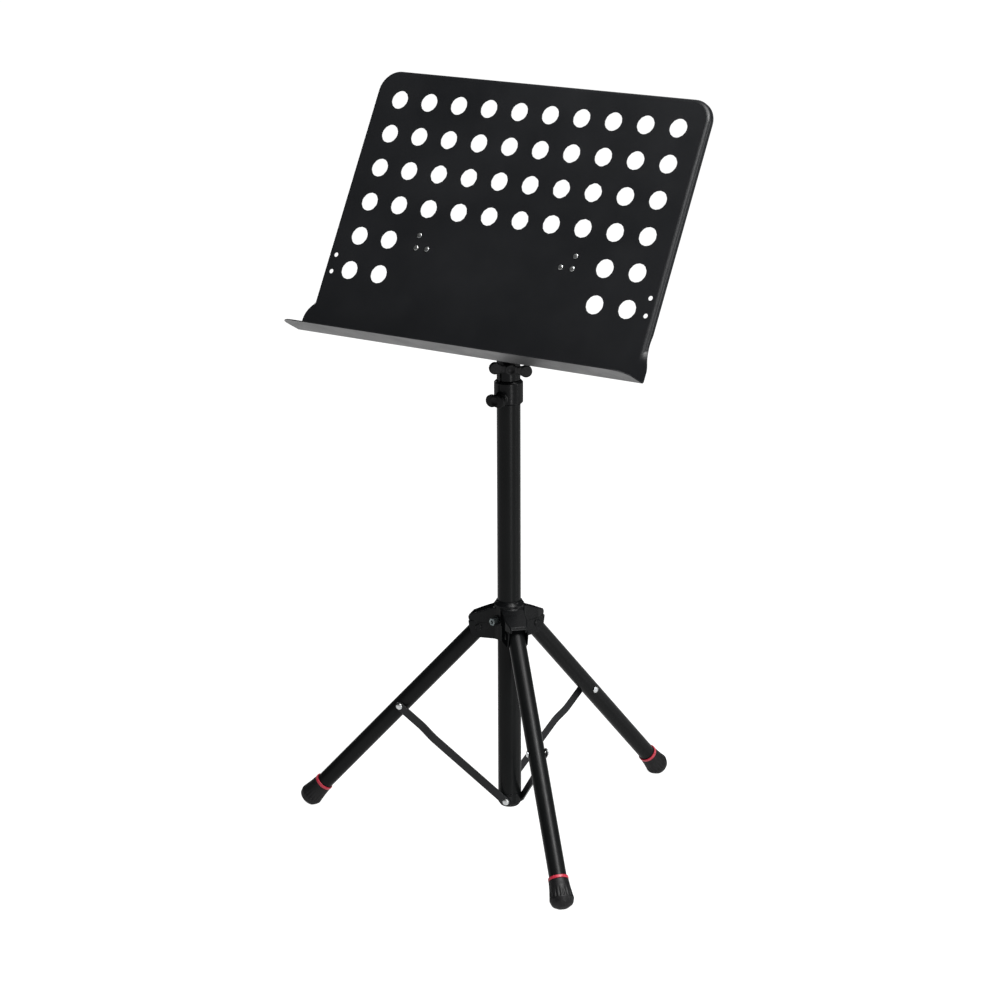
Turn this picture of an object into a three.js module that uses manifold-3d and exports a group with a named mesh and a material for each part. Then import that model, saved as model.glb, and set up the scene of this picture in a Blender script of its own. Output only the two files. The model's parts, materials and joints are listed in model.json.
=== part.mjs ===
// Orchestra music stand: perforated sheet desk on a telescopic post with a folding strutted tripod.
// Millimetres, +Z up. The desk's width lies along X, and the reader stands on the -Y side.
import * as THREE from 'three';
import { mergeVertices } from 'three/addons/utils/BufferGeometryUtils.js';
import Module from 'manifold-3d';

const wasm = await Module();
wasm.setup();

// ---- driving dimensions ----------------------------------------------------
const DEG = Math.PI / 180;
const GAP = 0.3;                  // clearance between pieces that touch
const PAST = 1;                   // how far a cutting tool runs past the face it opens
const SHEET = 1.2;                // desk sheet thickness

const POST_R = 15;                // outer post tube, radius
const POST_BORE = 13.5;
const POST_BOTTOM = 48;
const POST_TOP = 592;
const INNER_R = 12.5;             // telescopic tube
const INNER_BORE = 11.25;
const INNER_BOTTOM = 78;
const INNER_TOP = 608;

const COLLAR_R = 18.2;            // clamp collar at the top of the post
const COLLAR_BOTTOM = 567;
const COLLAR_TOP = 597;
const HEIGHT_KNOB_Z = 575;
const KNOB_SCREW_R = 2.7;
const KNOB_SCREW_IN = 4;          // how far a screw's end sits inside its knob
const KNOB_BOSS_R = 6.5;          // knob's round middle
const SEAT_R = 8;                 // round seat on the collar and the socket, behind each knob
const HEIGHT_KNOB = { tip: INNER_R + 2 * GAP, from: 21.8, lobeAt: 6.1, lobeR: 8, thickness: 9.5 };

const SOCKET_TOP = 634;           // socket that holds the desk's shaft
const SOCKET_KNOB_Z = 616.6;
const SOCKET_KNOB_AZIMUTH = 309.7 * DEG;
const SOCKET_SLIT_AZIMUTH = 262.7 * DEG;
const SOCKET_KNOB_TURN = 7 * DEG; // about the knob's own axis
const SLIT_WIDTH = 2.4;
const SLIT_HEIGHT = 15;
const SHAFT_R = 10;
const SHAFT_BORE = 8.5;
const SOCKET_KNOB = { tip: SHAFT_R + 2 * GAP, from: 20.4, lobeAt: 19.4, lobeR: 7.7, thickness: 11 };

const HUB_TOP = 309;              // sliding tripod hub
const HUB_BOTTOM = 258;
const HUB_R = 19.5;
const HUB_BORE = POST_R + GAP;
const ARM_TIP = 52;
const CHEEK_INNER = 11.5;
const CHEEK_OUTER = 13.2;
const HOOD_OUTER = 14.4;
const HOOD_BOTTOM = 279;          // lower edge of the hood, where the thinner cheeks start
const TAPER_FROM = 38;            // the hood narrows from here
const TAPER_TO = 60;
const TAPER_HALF = 8.5;
const HOOD_WALL = 2.6;
const PIN_HEAD_R = 4.6;
const PIN_HEAD = 1.6;
const HUB_SCREW_Z = 285;
const HUB_SCREW_R = 3;
const HUB_SCREW_FLATS = 9;
const HUB_SCREW_HEAD = 9.5;
const HUB_BOSS_R = 6.5;
const HUB_BOSS_END = HUB_R + 1.2;

const LEG_COUNT = 3;
const FIRST_LEG_AZIMUTH = 77.8 * DEG;
const LEG_ANGLE = 42.4 * DEG;     // from the vertical, with the tripod open
const LEG_R = 11;
const LEG_BORE = 9.8;
const PIVOT_R = 37;
const PIVOT_Z = 272;
const BRACE_PIN_AT = 161;         // from the leg's pivot, along the leg
const RING_AT = 326.3;            // coloured ring at the top of the foot
const RING_HALF = 1.9;
const FOOT_LENGTH = 38;

const POST_PIN_Z = 38;            // struts' lower pivots, beside the post's axis
const BRACE_WIDTH = 11;
const BRACE_SHEET = 2;
const BRACE_T_LEG = 12.4;         // strut's mid plane beside the leg
const BRACE_T_POST = 16.7;        // and beside the post
const BRACE_RIVET_R = 2.5;
const BRACE_RIVET_HEAD_R = 4.2;
const BRACE_RIVET_HEAD = 1.9;
const PLUG_BOTTOM = 28;           // end plug under the post
const PAD_R = 6.5;                // end plug's pads for the struts
const PIN_R = 3;                  // leg pivots

const TILT_Z = 747;               // desk's tilt axis
const TILT_BACK = 29 * DEG;
const ROD_R = 5;
const ROD_PAST_EAR = 8;
const ROD_NUT_FLATS = 16;
const ROD_NUT = 5;
const CLAMP_HALF = 15;            // half the width of the friction clamp on the rod
const CLAMP_R = 13;
const CLAMP_BOLT_R = 2.5;
const CLAMP_BOLT_Y = 16.5;
const CLAMP_BOLT_Z = TILT_Z - 14;
const CLAMP_BOLT_FLATS = 8;
const CLAMP_BOLT_HEAD = 4;
const FACE_Y = -34;               // desk's front surface, ahead of the tilt axis
const HOLE_PITCH = 46;
const HOLE_R = 12;
const HOLE_COLUMNS = 10;
const HOLE_ROWS = 6;
const FULL_HOLE_ROWS = 4;
const FIRST_ROW = 182.5;          // height of the top hole row up the desk, from the tilt axis
const DESK_TOP = 221.6;
const DESK_BEND = -134.2;
const DESK_HALF = 246.5;
const DESK_HALF_FLAT = 256.4;
const DESK_CORNER = 28;
const FLARE_FROM = DESK_BEND + 50; // the sides widen from here down to the ledge
const FLARE_TO = DESK_BEND + 14;
const FLARE_PULL = 17;            // length of the flare's curve handles
const RIM_DEPTH = 10;
const RIM_FULL = DESK_BEND + 64;  // the rim is full depth above here and fades out below
const RIM_END = DESK_BEND + 26;
const SMALL_HOLE_X = 234.2;
const SMALL_HOLE_HEIGHTS = [-30, -52.2];
const SMALL_HOLE_R = 3;
const LEDGE_DEPTH = 48;
const LEDGE_CORNER = 21;
const RIVET_OUTER_X = 116.4;
const RIVET_INNER_X = 99.8;
const RIVET_HIGH = 8.8;
const RIVET_LOW = -7.5;
const RIVET_R = 2;
const EAR_X = 90;
const EAR_R = 9;
const BRACKET_SHEET = 2;

// ---- geometry helpers ------------------------------------------------------
function toSolid(geometry) {
  const bare = geometry.clone();
  bare.deleteAttribute('normal');
  bare.deleteAttribute('uv');
  const merged = mergeVertices(bare, 1e-4);
  const source = merged.index.array;
  const kept = [];
  for (let i = 0; i < source.length; i += 3) {
    const [a, b, c] = [source[i], source[i + 1], source[i + 2]];
    if (a !== b && b !== c && c !== a) kept.push(a, b, c);
  }
  return new wasm.Manifold(new wasm.Mesh({
    numProp: 3,
    vertProperties: new Float32Array(merged.attributes.position.array),
    triVerts: new Uint32Array(kept),
  }));
}

function fromSolid(solid) {
  const mesh = solid.getMesh();
  const geometry = new THREE.BufferGeometry();
  geometry.setAttribute('position', new THREE.BufferAttribute(new Float32Array(mesh.vertProperties), 3));
  geometry.setIndex(new THREE.BufferAttribute(new Uint32Array(mesh.triVerts), 1));
  geometry.computeVertexNormals();
  return geometry;
}

function cut(first, ...tools) {
  return fromSolid(tools.reduce((solid, tool) => solid.subtract(toSolid(tool)), toSolid(first)));
}

function join(first, ...others) {
  return fromSolid(others.reduce((solid, other) => solid.add(toSolid(other)), toSolid(first)));
}

function common(first, second) {
  return fromSolid(toSolid(first).intersect(toSolid(second)));
}

// A round bar along Z.
function bar(radius, from, to, segments = 24) {
  const geometry = new THREE.CylinderGeometry(radius, radius, to - from, segments);
  return geometry.rotateX(Math.PI / 2).translate(0, 0, (from + to) / 2);
}

// A round bar along Y.
function crossBar(radius, from, to, segments = 10) {
  const geometry = new THREE.CylinderGeometry(radius, radius, to - from, segments);
  return geometry.translate(0, (from + to) / 2, 0);
}

// A round bar along X.
function sideBar(radius, from, to, segments = 10) {
  const geometry = new THREE.CylinderGeometry(radius, radius, to - from, segments);
  return geometry.rotateZ(-Math.PI / 2).translate((from + to) / 2, 0, 0);
}

function pipe(outer, inner, from, to, segments = 24) {
  return cut(bar(outer, from, to, segments), bar(inner, from - 1, to + 1, segments));
}

// A turned solid about Z from [radius, height] points that start and end on the axis.
function turned(profile, segments = 24) {
  const points = profile.map(([radius, height]) => new THREE.Vector2(radius, height));
  return new THREE.LatheGeometry(points, segments).rotateX(Math.PI / 2);
}

function box(x0, x1, y0, y1, z0, z1) {
  const geometry = new THREE.BoxGeometry(x1 - x0, y1 - y0, z1 - z0);
  return geometry.translate((x0 + x1) / 2, (y0 + y1) / 2, (z0 + z1) / 2);
}

// A shape drawn in (X, Z) and given thickness along Y, from y0 to y1.
function slab(shape, y0, y1, curveSegments = 8) {
  const geometry = new THREE.ExtrudeGeometry(shape, { depth: y1 - y0, bevelEnabled: false, curveSegments });
  return geometry.rotateX(Math.PI / 2).translate(0, y1, 0);
}

// A shape drawn in (X, Y) and given height along Z.
function sheet(shape, z0, z1, curveSegments = 8) {
  const geometry = new THREE.ExtrudeGeometry(shape, { depth: z1 - z0, bevelEnabled: false, curveSegments });
  return geometry.translate(0, 0, z0);
}

function polygon(points) {
  return new THREE.Shape(points.map(([x, y]) => new THREE.Vector2(x, y)));
}

// A hexagonal bar along X, as for a bolt head or nut.
function hexBar(acrossFlats, from, to) {
  return sideBar(acrossFlats / Math.sqrt(3), from, to, 6);
}

// ---- materials and scene helpers -------------------------------------------
const finish = (color, roughness, metalness) => () =>
  new THREE.MeshStandardMaterial({ color, roughness, metalness });
const powderCoat = finish(0x1d1e20, 0.5, 0.3);
const tubeCoat = finish(0x202223, 0.38, 0.35);
const mouldedBlack = finish(0x17181a, 0.35, 0);
const knobBlack = finish(0x1a1b1d, 0.55, 0);
const rubberBlack = finish(0x151515, 0.8, 0);
const ringRed = finish(0xb22a38, 0.45, 0);
const zincSteel = finish(0xb9bcc0, 0.35, 0.9);
const darkSteel = finish(0x4a4f52, 0.35, 0.9);

function add(parent, name, geometry, material) {
  const mesh = new THREE.Mesh(geometry, material());
  mesh.name = name;
  parent.add(mesh);
  return mesh;
}

function group(parent, position = [0, 0, 0], turnY = 0, turnZ = 0) {
  const made = new THREE.Group();
  made.position.set(...position);
  made.rotation.set(0, turnY, turnZ, 'ZYX');
  parent.add(made);
  return made;
}

// ---- post ------------------------------------------------------------------
function addPost(parent) {
  const tube = cut(pipe(POST_R, POST_BORE, POST_BOTTOM, POST_TOP), heightScrewHole());
  add(parent, 'main_tube', tube, tubeCoat);
  add(parent, 'post_end_plug', endPlug(), mouldedBlack);
  add(parent, 'height_collar', heightCollar(), mouldedBlack);
}

function heightScrewHole() {
  return crossBar(KNOB_SCREW_R + 2 * GAP, -HEIGHT_KNOB.from - PAST, 0).translate(0, 0, HEIGHT_KNOB_Z);
}

// Closes the tube's foot and carries one flat pad for each strut.
function endPlug() {
  const spigot = 12;
  const body = turned([
    [0, PLUG_BOTTOM], [8, PLUG_BOTTOM], [12, PLUG_BOTTOM + 1.6], [14.4, PLUG_BOTTOM + 5],
    [POST_R, PLUG_BOTTOM + 9], [POST_R, POST_BOTTOM - GAP], [POST_BORE - GAP, POST_BOTTOM - GAP],
    [POST_BORE - GAP, POST_BOTTOM + spigot], [0, POST_BOTTOM + spigot],
  ]);
  const padFace = BRACE_T_POST - BRACE_SHEET / 2 - GAP;
  const pads = legAzimuths().map((azimuth) =>
    crossBar(PAD_R, 4, padFace).translate(0, 0, POST_PIN_Z).rotateZ(azimuth));
  return join(body, ...pads);
}

function heightCollar() {
  const chamfer = 2.2;
  const outer = turned([
    [0, COLLAR_BOTTOM], [POST_R + 1, COLLAR_BOTTOM], [COLLAR_R, COLLAR_BOTTOM + chamfer],
    [COLLAR_R, COLLAR_TOP - chamfer], [POST_R + 1, COLLAR_TOP], [0, COLLAR_TOP],
  ]);
  const seat = crossBar(SEAT_R, GAP - HEIGHT_KNOB.from, -POST_R - PAST, 16);
  return cut(
    join(outer, seat.translate(0, 0, HEIGHT_KNOB_Z + 1)),
    bar(POST_R + GAP, COLLAR_BOTTOM - PAST, POST_TOP + GAP),
    bar(INNER_R + GAP, COLLAR_BOTTOM - PAST, COLLAR_TOP + PAST),
    heightScrewHole(),
  );
}

// ---- wing knobs ------------------------------------------------------------
// A wing knob that faces -Y: a round boss with two lobes, lobeAt apart from the screw on either side.
function wingKnob({ from, lobeAt, lobeR, thickness }) {
  const front = -from - thickness;
  const lobeBack = front + thickness * 0.62;
  const webHalf = lobeR * 0.62;
  const boss = crossBar(KNOB_BOSS_R, front, -from, 16);
  const lobes = [-1, 1].map((side) => crossBar(lobeR, front, lobeBack, 16).translate(side * lobeAt, 0, 0));
  return join(boss, box(-lobeAt, lobeAt, front, lobeBack, -webHalf, webHalf), ...lobes);
}

function addKnob(parent, prefix, knob) {
  const inside = -knob.from - KNOB_SCREW_IN;
  const screw = join(
    crossBar(KNOB_SCREW_R, inside, -knob.tip),
    crossBar(KNOB_SCREW_R - 0.5, -knob.tip - PAST, -knob.tip + GAP),
  );
  const socket = crossBar(KNOB_SCREW_R + GAP, inside - GAP, -knob.from + PAST);
  add(parent, `${prefix}_screw`, screw, zincSteel);
  add(parent, `${prefix}_knob`, cut(wingKnob(knob), socket), knobBlack);
}

function addHeightKnob(parent) {
  addKnob(group(parent, [0, 0, HEIGHT_KNOB_Z]), 'height', HEIGHT_KNOB);
}

// Turn about Z that swings something facing -Y round to the socket knob's side.
function socketKnobTurn() {
  return SOCKET_KNOB_AZIMUTH + 90 * DEG;
}

function addSocketKnob(parent) {
  addKnob(group(parent, [0, 0, SOCKET_KNOB_Z], SOCKET_KNOB_TURN, socketKnobTurn()), 'socket', SOCKET_KNOB);
}

// ---- telescopic tube and socket --------------------------------------------
function addInnerTube(parent) {
  add(parent, 'inner_tube', pipe(INNER_R, INNER_BORE, INNER_BOTTOM, INNER_TOP), tubeCoat);
  const glideR = POST_BORE - GAP;
  const spigotR = INNER_BORE - GAP;
  add(parent, 'inner_glide', turned([
    [0, INNER_BOTTOM - 14], [glideR - 2, INNER_BOTTOM - 14], [glideR, INNER_BOTTOM - 12],
    [glideR, INNER_BOTTOM - GAP], [spigotR, INNER_BOTTOM - GAP], [spigotR, INNER_BOTTOM + 16],
    [0, INNER_BOTTOM + 16],
  ]), mouldedBlack);
  add(parent, 'top_socket', topSocket(), mouldedBlack);
}

function topSocket() {
  const bottom = COLLAR_TOP + 0.4;
  const radius = POST_R - 0.2;
  const outer = turned([
    [0, bottom], [radius, bottom], [radius, SOCKET_TOP - 2], [radius - 2, SOCKET_TOP], [0, SOCKET_TOP],
  ]);
  const seat = crossBar(SEAT_R, GAP - SOCKET_KNOB.from, -INNER_R, 16);
  const screwHole = crossBar(KNOB_SCREW_R + GAP, -SOCKET_KNOB.from - PAST, 0);
  const [seatPlaced, holePlaced] = [seat, screwHole].map((piece) =>
    piece.translate(0, 0, SOCKET_KNOB_Z).rotateZ(socketKnobTurn()));
  const slit = box(0, radius + 5, -SLIT_WIDTH / 2, SLIT_WIDTH / 2, bottom - PAST, bottom + SLIT_HEIGHT);
  return cut(
    join(outer, seatPlaced),
    bar(INNER_R + GAP, bottom - PAST, INNER_TOP + GAP),
    bar(SHAFT_R + GAP, INNER_TOP, SOCKET_TOP + PAST),
    holePlaced,
    slit.rotateZ(SOCKET_SLIT_AZIMUTH),
  );
}

// ---- tripod ----------------------------------------------------------------
function legAzimuths() {
  return Array.from({ length: LEG_COUNT }, (_, i) => FIRST_LEG_AZIMUTH + i * 360 / LEG_COUNT * DEG);
}

// One hub arm along +X: a sloping hood that narrows to its tip, over two cheeks that hold the leg's pivot.
function hubArm() {
  const cheeks = polygon([
    [10, HUB_BOTTOM], [41, HUB_BOTTOM], [47, HUB_BOTTOM + 4], [50, HUB_BOTTOM + 14],
    [51, HOOD_BOTTOM + PAST], [10, HOOD_BOTTOM + PAST],
  ]);
  const hood = polygon([
    [10, HOOD_BOTTOM], [51, HOOD_BOTTOM], [ARM_TIP, HOOD_BOTTOM + 5], [ARM_TIP - 1.5, HOOD_BOTTOM + 8.5],
    [28, HOOD_BOTTOM + 17.5], [20, HOOD_BOTTOM + 21], [10, HOOD_BOTTOM + 22],
  ]);
  const tipCuts = [-1, 1].map((hand) => sheet(polygon([
    [TAPER_FROM, hand * 20], [TAPER_FROM, hand * HOOD_OUTER], [TAPER_TO, hand * TAPER_HALF],
    [TAPER_TO, hand * 20],
  ]), HOOD_BOTTOM - PAST, HUB_TOP));
  return join(
    cut(slab(cheeks, -CHEEK_OUTER, CHEEK_OUTER), hubSlot()),
    cut(slab(hood, -HOOD_OUTER, HOOD_OUTER), ...tipCuts, common(hubSlot(), hoodPlan())),
  );
}

// Plan of the space inside a hood, which narrows with it.
function hoodPlan() {
  const half = [[0, CHEEK_INNER], [TAPER_FROM, CHEEK_INNER], [TAPER_TO, TAPER_HALF - HOOD_WALL]];
  const otherHalf = half.map(([out, across]) => [out, -across]).reverse();
  return sheet(polygon([...half, ...otherHalf]), HUB_BOTTOM, HUB_TOP);
}

// The space between an arm's cheeks, where the leg swings.
function hubSlot() {
  const side = polygon([
    [17, HUB_BOTTOM - 5], [60, HUB_BOTTOM - 5], [60, HOOD_BOTTOM + 2], [ARM_TIP - 2, HOOD_BOTTOM + 4.5],
    [28, HOOD_BOTTOM + 13.5], [17, HOOD_BOTTOM + 16],
  ]);
  return cut(slab(side, -CHEEK_INNER, CHEEK_INNER), bar(HUB_R, HUB_BOTTOM - 6, HUB_TOP));
}

function hubBody() {
  const barrel = turned([
    [0, HUB_BOTTOM], [HUB_R, HUB_BOTTOM], [HUB_R, HUB_TOP - 5], [HUB_R - 2.5, HUB_TOP - 1],
    [HUB_R - 3.2, HUB_TOP], [0, HUB_TOP],
  ]);
  const arms = legAzimuths().map((azimuth) => hubArm().rotateZ(azimuth));
  const pinHoles = legAzimuths().map((azimuth) =>
    crossBar(PIN_R + GAP, -20, 20).translate(PIVOT_R, 0, PIVOT_Z).rotateZ(azimuth));
  const boss = sideBar(HUB_BOSS_R, 12, HUB_BOSS_END, 20);
  const screwHole = sideBar(HUB_SCREW_R + GAP, 0, HUB_BOSS_END + PAST);
  const [bossPlaced, holePlaced] = [boss, screwHole].map((piece) =>
    piece.translate(0, 0, HUB_SCREW_Z).rotateZ(hubScrewAzimuth()));
  return cut(
    join(barrel, ...arms, bossPlaced),
    bar(HUB_BORE, HUB_BOTTOM - PAST, HUB_TOP + PAST),
    ...pinHoles,
    holePlaced,
  );
}

function hubScrewAzimuth() {
  return FIRST_LEG_AZIMUTH + 180 * DEG;
}

function addHub(parent) {
  add(parent, 'hub', hubBody(), mouldedBlack);
  const holder = group(parent, [0, 0, HUB_SCREW_Z], 0, hubScrewAzimuth());
  const headFrom = HUB_BOSS_END + GAP;
  const screw = join(
    sideBar(HUB_SCREW_R, POST_R + 2 * GAP, headFrom + 1),
    hexBar(HUB_SCREW_FLATS, headFrom, headFrom + HUB_SCREW_HEAD).rotateX(Math.PI / 2),
  );
  add(holder, 'hub_screw', screw, darkSteel);
  legAzimuths().forEach((azimuth, i) => {
    const arm = group(parent, [0, 0, 0], 0, azimuth);
    const pin = join(
      crossBar(PIN_R, -CHEEK_OUTER - 1, CHEEK_OUTER + 1),
      crossBar(PIN_HEAD_R, CHEEK_OUTER + GAP, CHEEK_OUTER + PIN_HEAD),
      crossBar(PIN_HEAD_R, -CHEEK_OUTER - PIN_HEAD, -CHEEK_OUTER - GAP),
    );
    add(arm, `leg_pivot_${i + 1}`, pin.translate(PIVOT_R, 0, PIVOT_Z), mouldedBlack);
  });
}

// Leg pieces are drawn pointing down -Z from their pivot at the origin.
function addLegs(parent) {
  legAzimuths().forEach((azimuth, i) => {
    const arm = group(parent, [0, 0, 0], 0, azimuth);
    const leg = group(arm, [PIVOT_R, 0, PIVOT_Z], -LEG_ANGLE);
    addLeg(leg, i + 1);
    addBrace(arm, i + 1);
  });
}

function addLeg(leg, number) {
  const tubeEnd = -RING_AT - 26;
  const tubeTop = 6;
  const pivotHole = crossBar(PIN_R + GAP, -20, 20);
  const braceHole = crossBar(BRACE_RIVET_R + GAP, -20, 20).translate(0, 0, -BRACE_PIN_AT);
  const tube = cut(pipe(LEG_R, LEG_BORE, tubeEnd, tubeTop), pivotHole, braceHole);
  add(leg, `leg_tube_${number}`, tube, tubeCoat);
  const spigotR = LEG_BORE - GAP;
  const plug = turned([
    [0, -16], [spigotR, -16], [spigotR, tubeTop + GAP], [LEG_R, tubeTop + GAP], [LEG_R - 1, tubeTop + 2.2],
    [LEG_R - 3, tubeTop + 3], [0, tubeTop + 3],
  ]);
  add(leg, `leg_plug_${number}`, cut(plug, pivotHole), mouldedBlack);
  const ring = pipe(LEG_R + 1.5, LEG_R + GAP, -RING_AT - RING_HALF, -RING_AT + RING_HALF);
  add(leg, `leg_ring_${number}`, ring, ringRed);
  add(leg, `foot_${number}`, foot(tubeEnd), rubberBlack);
  const rivet = join(
    crossBar(BRACE_RIVET_R, -LEG_R - 1, BRACE_T_LEG + 2),
    rivetHead(BRACE_T_LEG + BRACE_SHEET / 2 + GAP),
    rivetHead(LEG_R + GAP).rotateZ(Math.PI),
  ).translate(0, 0, -BRACE_PIN_AT);
  add(leg, `brace_rivet_${number}`, rivet, zincSteel);
}

function rivetHead(y) {
  return domeAlongY(BRACE_RIVET_HEAD_R, y, BRACE_RIVET_HEAD);
}

// A low rivet head on the +Y side, standing up from y.
function domeAlongY(radius, y, height) {
  const head = turned([[0, 0], [radius, 0], [radius * 0.7, height * 0.8], [0, height]], 12);
  return head.rotateX(-Math.PI / 2).translate(0, y, 0);
}

// Rubber foot: a flared boot with a blind bore, trimmed level where it meets the floor.
function foot(tubeEnd) {
  const top = -RING_AT - RING_HALF - GAP;
  const tip = -RING_AT - FOOT_LENGTH;
  const boot = turned([
    [0, tip], [4, tip + 0.7], [8, tip + 2.6], [11.5, tip + 5.2], [14, tip + 8], [15.3, tip + 11.5],
    [14.9, tip + 16], [13.4, tip + 26], [12.5, top], [0, top],
  ]);
  const bore = bar(LEG_R + GAP, tubeEnd - GAP, top + PAST);
  const reach = 400;
  const floor = box(0, reach, -60, 60, -PIVOT_Z - 40, -PIVOT_Z).rotateY(LEG_ANGLE);
  return cut(boot, bore, floor);
}

// Strut from the leg's rivet to the pad beside the post's foot, with a set in it so it clears both tubes.
function addBrace(arm, number) {
  const legPin = new THREE.Vector2(
    PIVOT_R + BRACE_PIN_AT * Math.sin(LEG_ANGLE), PIVOT_Z - BRACE_PIN_AT * Math.cos(LEG_ANGLE));
  const length = Math.hypot(legPin.x, legPin.y - POST_PIN_Z);
  const lean = Math.atan2(legPin.x, legPin.y - POST_PIN_Z);
  const holder = group(arm, [legPin.x, 0, legPin.y], lean);
  const strip = stripAlong(length);
  const legHole = crossBar(BRACE_RIVET_R + GAP, 0, 25);
  const postHole = legHole.clone().translate(0, 0, -length);
  add(holder, `brace_${number}`, cut(strip, legHole, postHole), powderCoat);
  const face = BRACE_T_POST + BRACE_SHEET / 2;
  const pin = join(crossBar(BRACE_RIVET_R, face - BRACE_SHEET, face + 1), rivetHead(face + GAP));
  add(holder, `brace_pin_${number}`, pin.translate(0, 0, -length), zincSteel);
}

function stripAlong(length) {
  const half = BRACE_SHEET / 2;
  const setFrom = length - 150;     // where the set starts and ends, from the leg's rivet
  const setTo = length - 122;
  const end = length + BRACE_WIDTH / 2;
  const start = -BRACE_WIDTH / 2;
  const section = polygon([
    [BRACE_T_LEG - half, -start], [BRACE_T_LEG - half, -setFrom], [BRACE_T_POST - half, -setTo],
    [BRACE_T_POST - half, -end], [BRACE_T_POST + half, -end], [BRACE_T_POST + half, -setTo],
    [BRACE_T_LEG + half, -setFrom], [BRACE_T_LEG + half, -start],
  ]);
  const bent = slab(section, -BRACE_WIDTH / 2, BRACE_WIDTH / 2).rotateZ(Math.PI / 2);
  const outline = new THREE.Shape();
  outline.moveTo(BRACE_WIDTH / 2, -length);
  outline.lineTo(BRACE_WIDTH / 2, 0);
  outline.absarc(0, 0, BRACE_WIDTH / 2, 0, Math.PI, false);
  outline.lineTo(-BRACE_WIDTH / 2, -length);
  outline.absarc(0, -length, BRACE_WIDTH / 2, Math.PI, 2 * Math.PI, false);
  return common(bent, slab(outline, 5, 25, 5));
}

// ---- tilt head -------------------------------------------------------------
function addHead(parent) {
  const shaft = pipe(SHAFT_R, SHAFT_BORE, INNER_TOP + GAP, TILT_Z - 14);
  add(parent, 'desk_shaft', shaft, tubeCoat);
  add(parent, 'tilt_body', tiltBody(), mouldedBlack);
  const seat = CLAMP_HALF + GAP;
  const end = seat + CLAMP_BOLT_HEAD;
  const bolt = join(sideBar(CLAMP_BOLT_R, -seat - 1, end - 2), hexBar(CLAMP_BOLT_FLATS, -end, -seat));
  add(parent, 'tilt_bolt', bolt.translate(0, CLAMP_BOLT_Y, CLAMP_BOLT_Z), zincSteel);
  const nut = cut(hexBar(CLAMP_BOLT_FLATS, seat, end), sideBar(CLAMP_BOLT_R + GAP, seat - 5, end + 5, 16));
  add(parent, 'tilt_nut', nut.translate(0, CLAMP_BOLT_Y, CLAMP_BOLT_Z), zincSteel);
}

// Split clamp round the tilt rod, with a socket below for the shaft.
function tiltBody() {
  const half = CLAMP_HALF;
  const barrel = sideBar(CLAMP_R, -half, half, 24).translate(0, 0, TILT_Z);
  const neck = turned([
    [0, TILT_Z - 34], [13, TILT_Z - 34], [14.5, TILT_Z - 30], [14.5, TILT_Z - 4], [0, TILT_Z - 4],
  ]);
  const lug = box(-half, half, 0, CLAMP_BOLT_Y + 5.5, TILT_Z - 22, TILT_Z - 6);
  return cut(
    join(barrel, neck, lug),
    sideBar(ROD_R + GAP, -half - PAST, half + PAST, 16).translate(0, 0, TILT_Z),
    bar(SHAFT_R + GAP, TILT_Z - 40, TILT_Z - 14 + GAP),
    box(-1, 1, 10.5, 30, TILT_Z - 30, TILT_Z + 20),
    sideBar(CLAMP_BOLT_R + GAP, -20, 20).translate(0, CLAMP_BOLT_Y, CLAMP_BOLT_Z),
  );
}

// ---- desk ------------------------------------------------------------------
// The desk is drawn upright about its tilt axis, facing -Y.
function addDesk(parent) {
  const desk = new THREE.Group();
  desk.position.set(0, 0, TILT_Z);
  desk.rotation.x = -TILT_BACK;
  parent.add(desk);
  add(desk, 'desk_panel', deskPanel(), powderCoat);
  const rodEnd = EAR_X + ROD_PAST_EAR;
  add(desk, 'tilt_rod', sideBar(ROD_R, -rodEnd, rodEnd, 16), zincSteel);
  ['left', 'right'].forEach((name, i) => {
    const hand = i === 0 ? -1 : 1;
    add(desk, `bracket_${name}`, bracket(hand), powderCoat);
    const nutFrom = EAR_X + BRACKET_SHEET + GAP;
    const nut = cut(hexBar(ROD_NUT_FLATS, nutFrom, nutFrom + ROD_NUT), sideBar(ROD_R + GAP, 60, 120, 16));
    add(desk, `rod_nut_${name}`, hand > 0 ? nut : nut.rotateZ(Math.PI), zincSteel);
    rivetSpots(hand).forEach(([x, z], k) => {
      add(desk, `desk_rivet_${name}_${k + 1}`, deskRivet().translate(x, 0, z), zincSteel);
    });
  });
}

function rivetSpots(hand) {
  return [
    [hand * RIVET_OUTER_X, RIVET_HIGH],
    [hand * RIVET_OUTER_X, RIVET_LOW],
    [hand * RIVET_INNER_X, RIVET_LOW],
  ];
}

function deskRivet() {
  const bracketBack = FACE_Y + SHEET + GAP + BRACKET_SHEET;
  return join(
    crossBar(RIVET_R, FACE_Y - 0.6, bracketBack + 0.6, 8),
    domeAlongY(3.4, -FACE_Y + GAP, 1.1).rotateZ(Math.PI),
    domeAlongY(3.2, bracketBack + GAP, 1.4),
  );
}

function deskShape(inset, bottom) {
  const half = DESK_HALF - inset;
  const wide = DESK_HALF_FLAT - inset;
  const top = DESK_TOP - inset;
  const corner = DESK_CORNER - inset;
  const shape = new THREE.Shape();
  shape.moveTo(-wide, bottom);
  shape.lineTo(wide, bottom);
  shape.lineTo(wide, FLARE_TO);
  shape.bezierCurveTo(wide, FLARE_TO + FLARE_PULL, half, FLARE_FROM - FLARE_PULL, half, FLARE_FROM);
  shape.lineTo(half, top - corner);
  shape.absarc(half - corner, top - corner, corner, 0, Math.PI / 2, false);
  shape.lineTo(-half + corner, top);
  shape.absarc(-half + corner, top - corner, corner, Math.PI / 2, Math.PI, false);
  shape.lineTo(-half, FLARE_FROM);
  shape.bezierCurveTo(-half, FLARE_FROM - FLARE_PULL, -wide, FLARE_TO + FLARE_PULL, -wide, FLARE_TO);
  shape.lineTo(-wide, bottom);
  return shape;
}

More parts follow.
